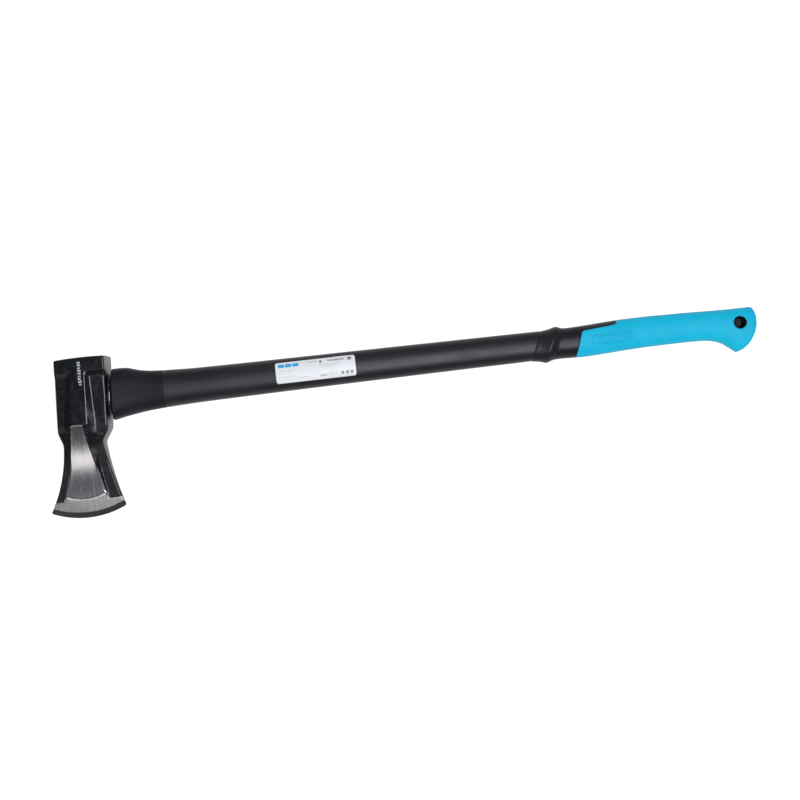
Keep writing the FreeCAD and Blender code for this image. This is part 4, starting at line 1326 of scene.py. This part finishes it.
def light_table():
    """Wide pale floor that glows, so that the maul lies on a plain bright ground."""
    low, high = cad_box
    middle = (low + high) / 2
    mesh = bpy.data.meshes.new("floor")
    corners = [(middle.x + x * FLOOR_HALF, middle.y + y * FLOOR_HALF, low.z - FLOOR_GAP)
               for x, y in ((-1, -1), (1, -1), (1, 1), (-1, 1))]
    mesh.from_pydata(corners, [], [(0, 1, 2, 3)])
    floor = bpy.data.objects.new("floor", mesh)
    bpy.context.scene.collection.objects.link(floor)
    n = Nodes("light_table")
    tint = n.mix(n.noise(6.0, 2.0), (0.10, 0.10, 0.10), (0.12, 0.12, 0.12))
    mesh.materials.append(n.surface(
        Base_Color=tint, Roughness=0.9, Specular_IOR_Level=0.1,
        Emission_Color=(1.0, 1.0, 1.0), Emission_Strength=1.0))


def lamps():
    area_light("head_key", 25.5, 2.4, (0.9, 0.13), 0.85, (1.0, 0.985, 0.97), turn=-23.0)
    area_light("head_low", 13.5, 2.4, (0.9, 0.20), 0.58, (0.97, 0.98, 1.0), turn=-23.0)
    area_light("handle_box", 5.0, 2.4, (1.05, 0.95), 36.0, (0.93, 0.955, 1.0), turn=9.0)
    area_light("neck_box", 4.0, 2.4, (0.4, 0.7), 2.6, (0.93, 0.955, 1.0), turn=-7.5)
    area_light("back_softbox", -34.0, 2.3, (2.6, 0.35), 2.4, (0.93, 0.96, 1.0))
    area_light("overhead_fill", 4.0, 2.8, (3.2, 2.4), 48.0, (1.0, 1.0, 1.0), glossy=False)


CAMERA_HEIGHT = 2.0             # metres above the maul's middle plane
CAMERA_ROLL = math.radians(6.55)
CAMERA_VIEW = 1.024             # metres across the picture, at the middle plane
CAMERA_OFFSET_MM = (-2.18, 2.011)


def camera():
    """Looks straight down on the cheek, with the grip turned upwards in the picture."""
    data = bpy.data.cameras.new("camera")
    data.sensor_width = 36.0
    data.lens = data.sensor_width * CAMERA_HEIGHT / CAMERA_VIEW
    camera = bpy.data.objects.new("camera", data)
    c, s = math.cos(CAMERA_ROLL), math.sin(CAMERA_ROLL)
    turn = Matrix(((c, s, 0), (-s, c, 0), (0, 0, 1))).to_4x4()
    aim = (cad_box[0] + cad_box[1]) / 2 + Vector((*CAMERA_OFFSET_MM, 0)) * MM
    camera.matrix_world = Matrix.Translation((aim.x, aim.y, MID_Z * MM + CAMERA_HEIGHT)) @ turn
    bpy.context.scene.collection.objects.link(camera)
    bpy.context.scene.camera = camera


# ---------------------------------------------------------------- assembly
def main():
    tones = (0.0050, 0.0052, 0.0068), (0.0085, 0.0087, 0.0112)
    black = moulded("black_plastic", *tones, 0.40, 1900.0, 0.03, shine=0.22)
    pieces = (
        (maul_head, "maul_head", "head_steel", painted_steel()),
        (eye_collar, "eye_collar", "black_plastic",
         moulded("collar_plastic", (0.008, 0.008, 0.009), (0.013, 0.013, 0.0145), 0.12, 900.0, 0.01,
                 shine=1.0)),
        (strike_guard, "strike_guard", "guard_rubber",
         moulded("guard_rubber", (0.0058, 0.0062, 0.0082), (0.0100, 0.0105, 0.0138), 0.50, 1300.0, 0.06,
                 dust=0.5, shine=0.13)),
        (shaft_jacket, "shaft_jacket", "jacket_plastic",
         moulded("jacket_plastic", *tones, 0.42, 1900.0, 0.035, dust=0.12, streaky=True)),
        (grip_body, "grip_body", "black_plastic", black),
        (soft_grip, "soft_grip", "soft_blue", soft_touch()),
        # The bush's near-black plastic makes its web read as painted shade inside the hanging hole; the
        # black lining itself is the part's own colour.
        (hang_bush, "hang_bush", "bush_plastic",
         moulded("bush_plastic", (0.0010, 0.0010, 0.0013), (0.0020, 0.0020, 0.0024), 0.3, 1200.0, 0.02,
                 shine=0.1)),
        (shaft_label, "shaft_label", "label_film", label_film()),
        (cheek_mark, "cheek_mark", "mark_ink", rubbed_ink()),
    )
    for build, node, slot, material in pieces:
        finish_piece(build(), node, material)
    inner = {
        "eye_resin": potting_resin(),
        "core_rod": glass_fibre(),
        "resin_dam": moulded("dam_rubber", (0.012, 0.012, 0.012), (0.022, 0.022, 0.022), 0.6, 1100.0, 0.05),
        "core_tail_cap": black,
    }
    for node, material in inner.items():
        data = frame["nodes"][node].data
        data.materials.clear()
        data.materials.append(material)
    sky()
    light_table()
    lamps()
    camera()
    bpy.context.scene.view_settings.view_transform = "Standard"


main()
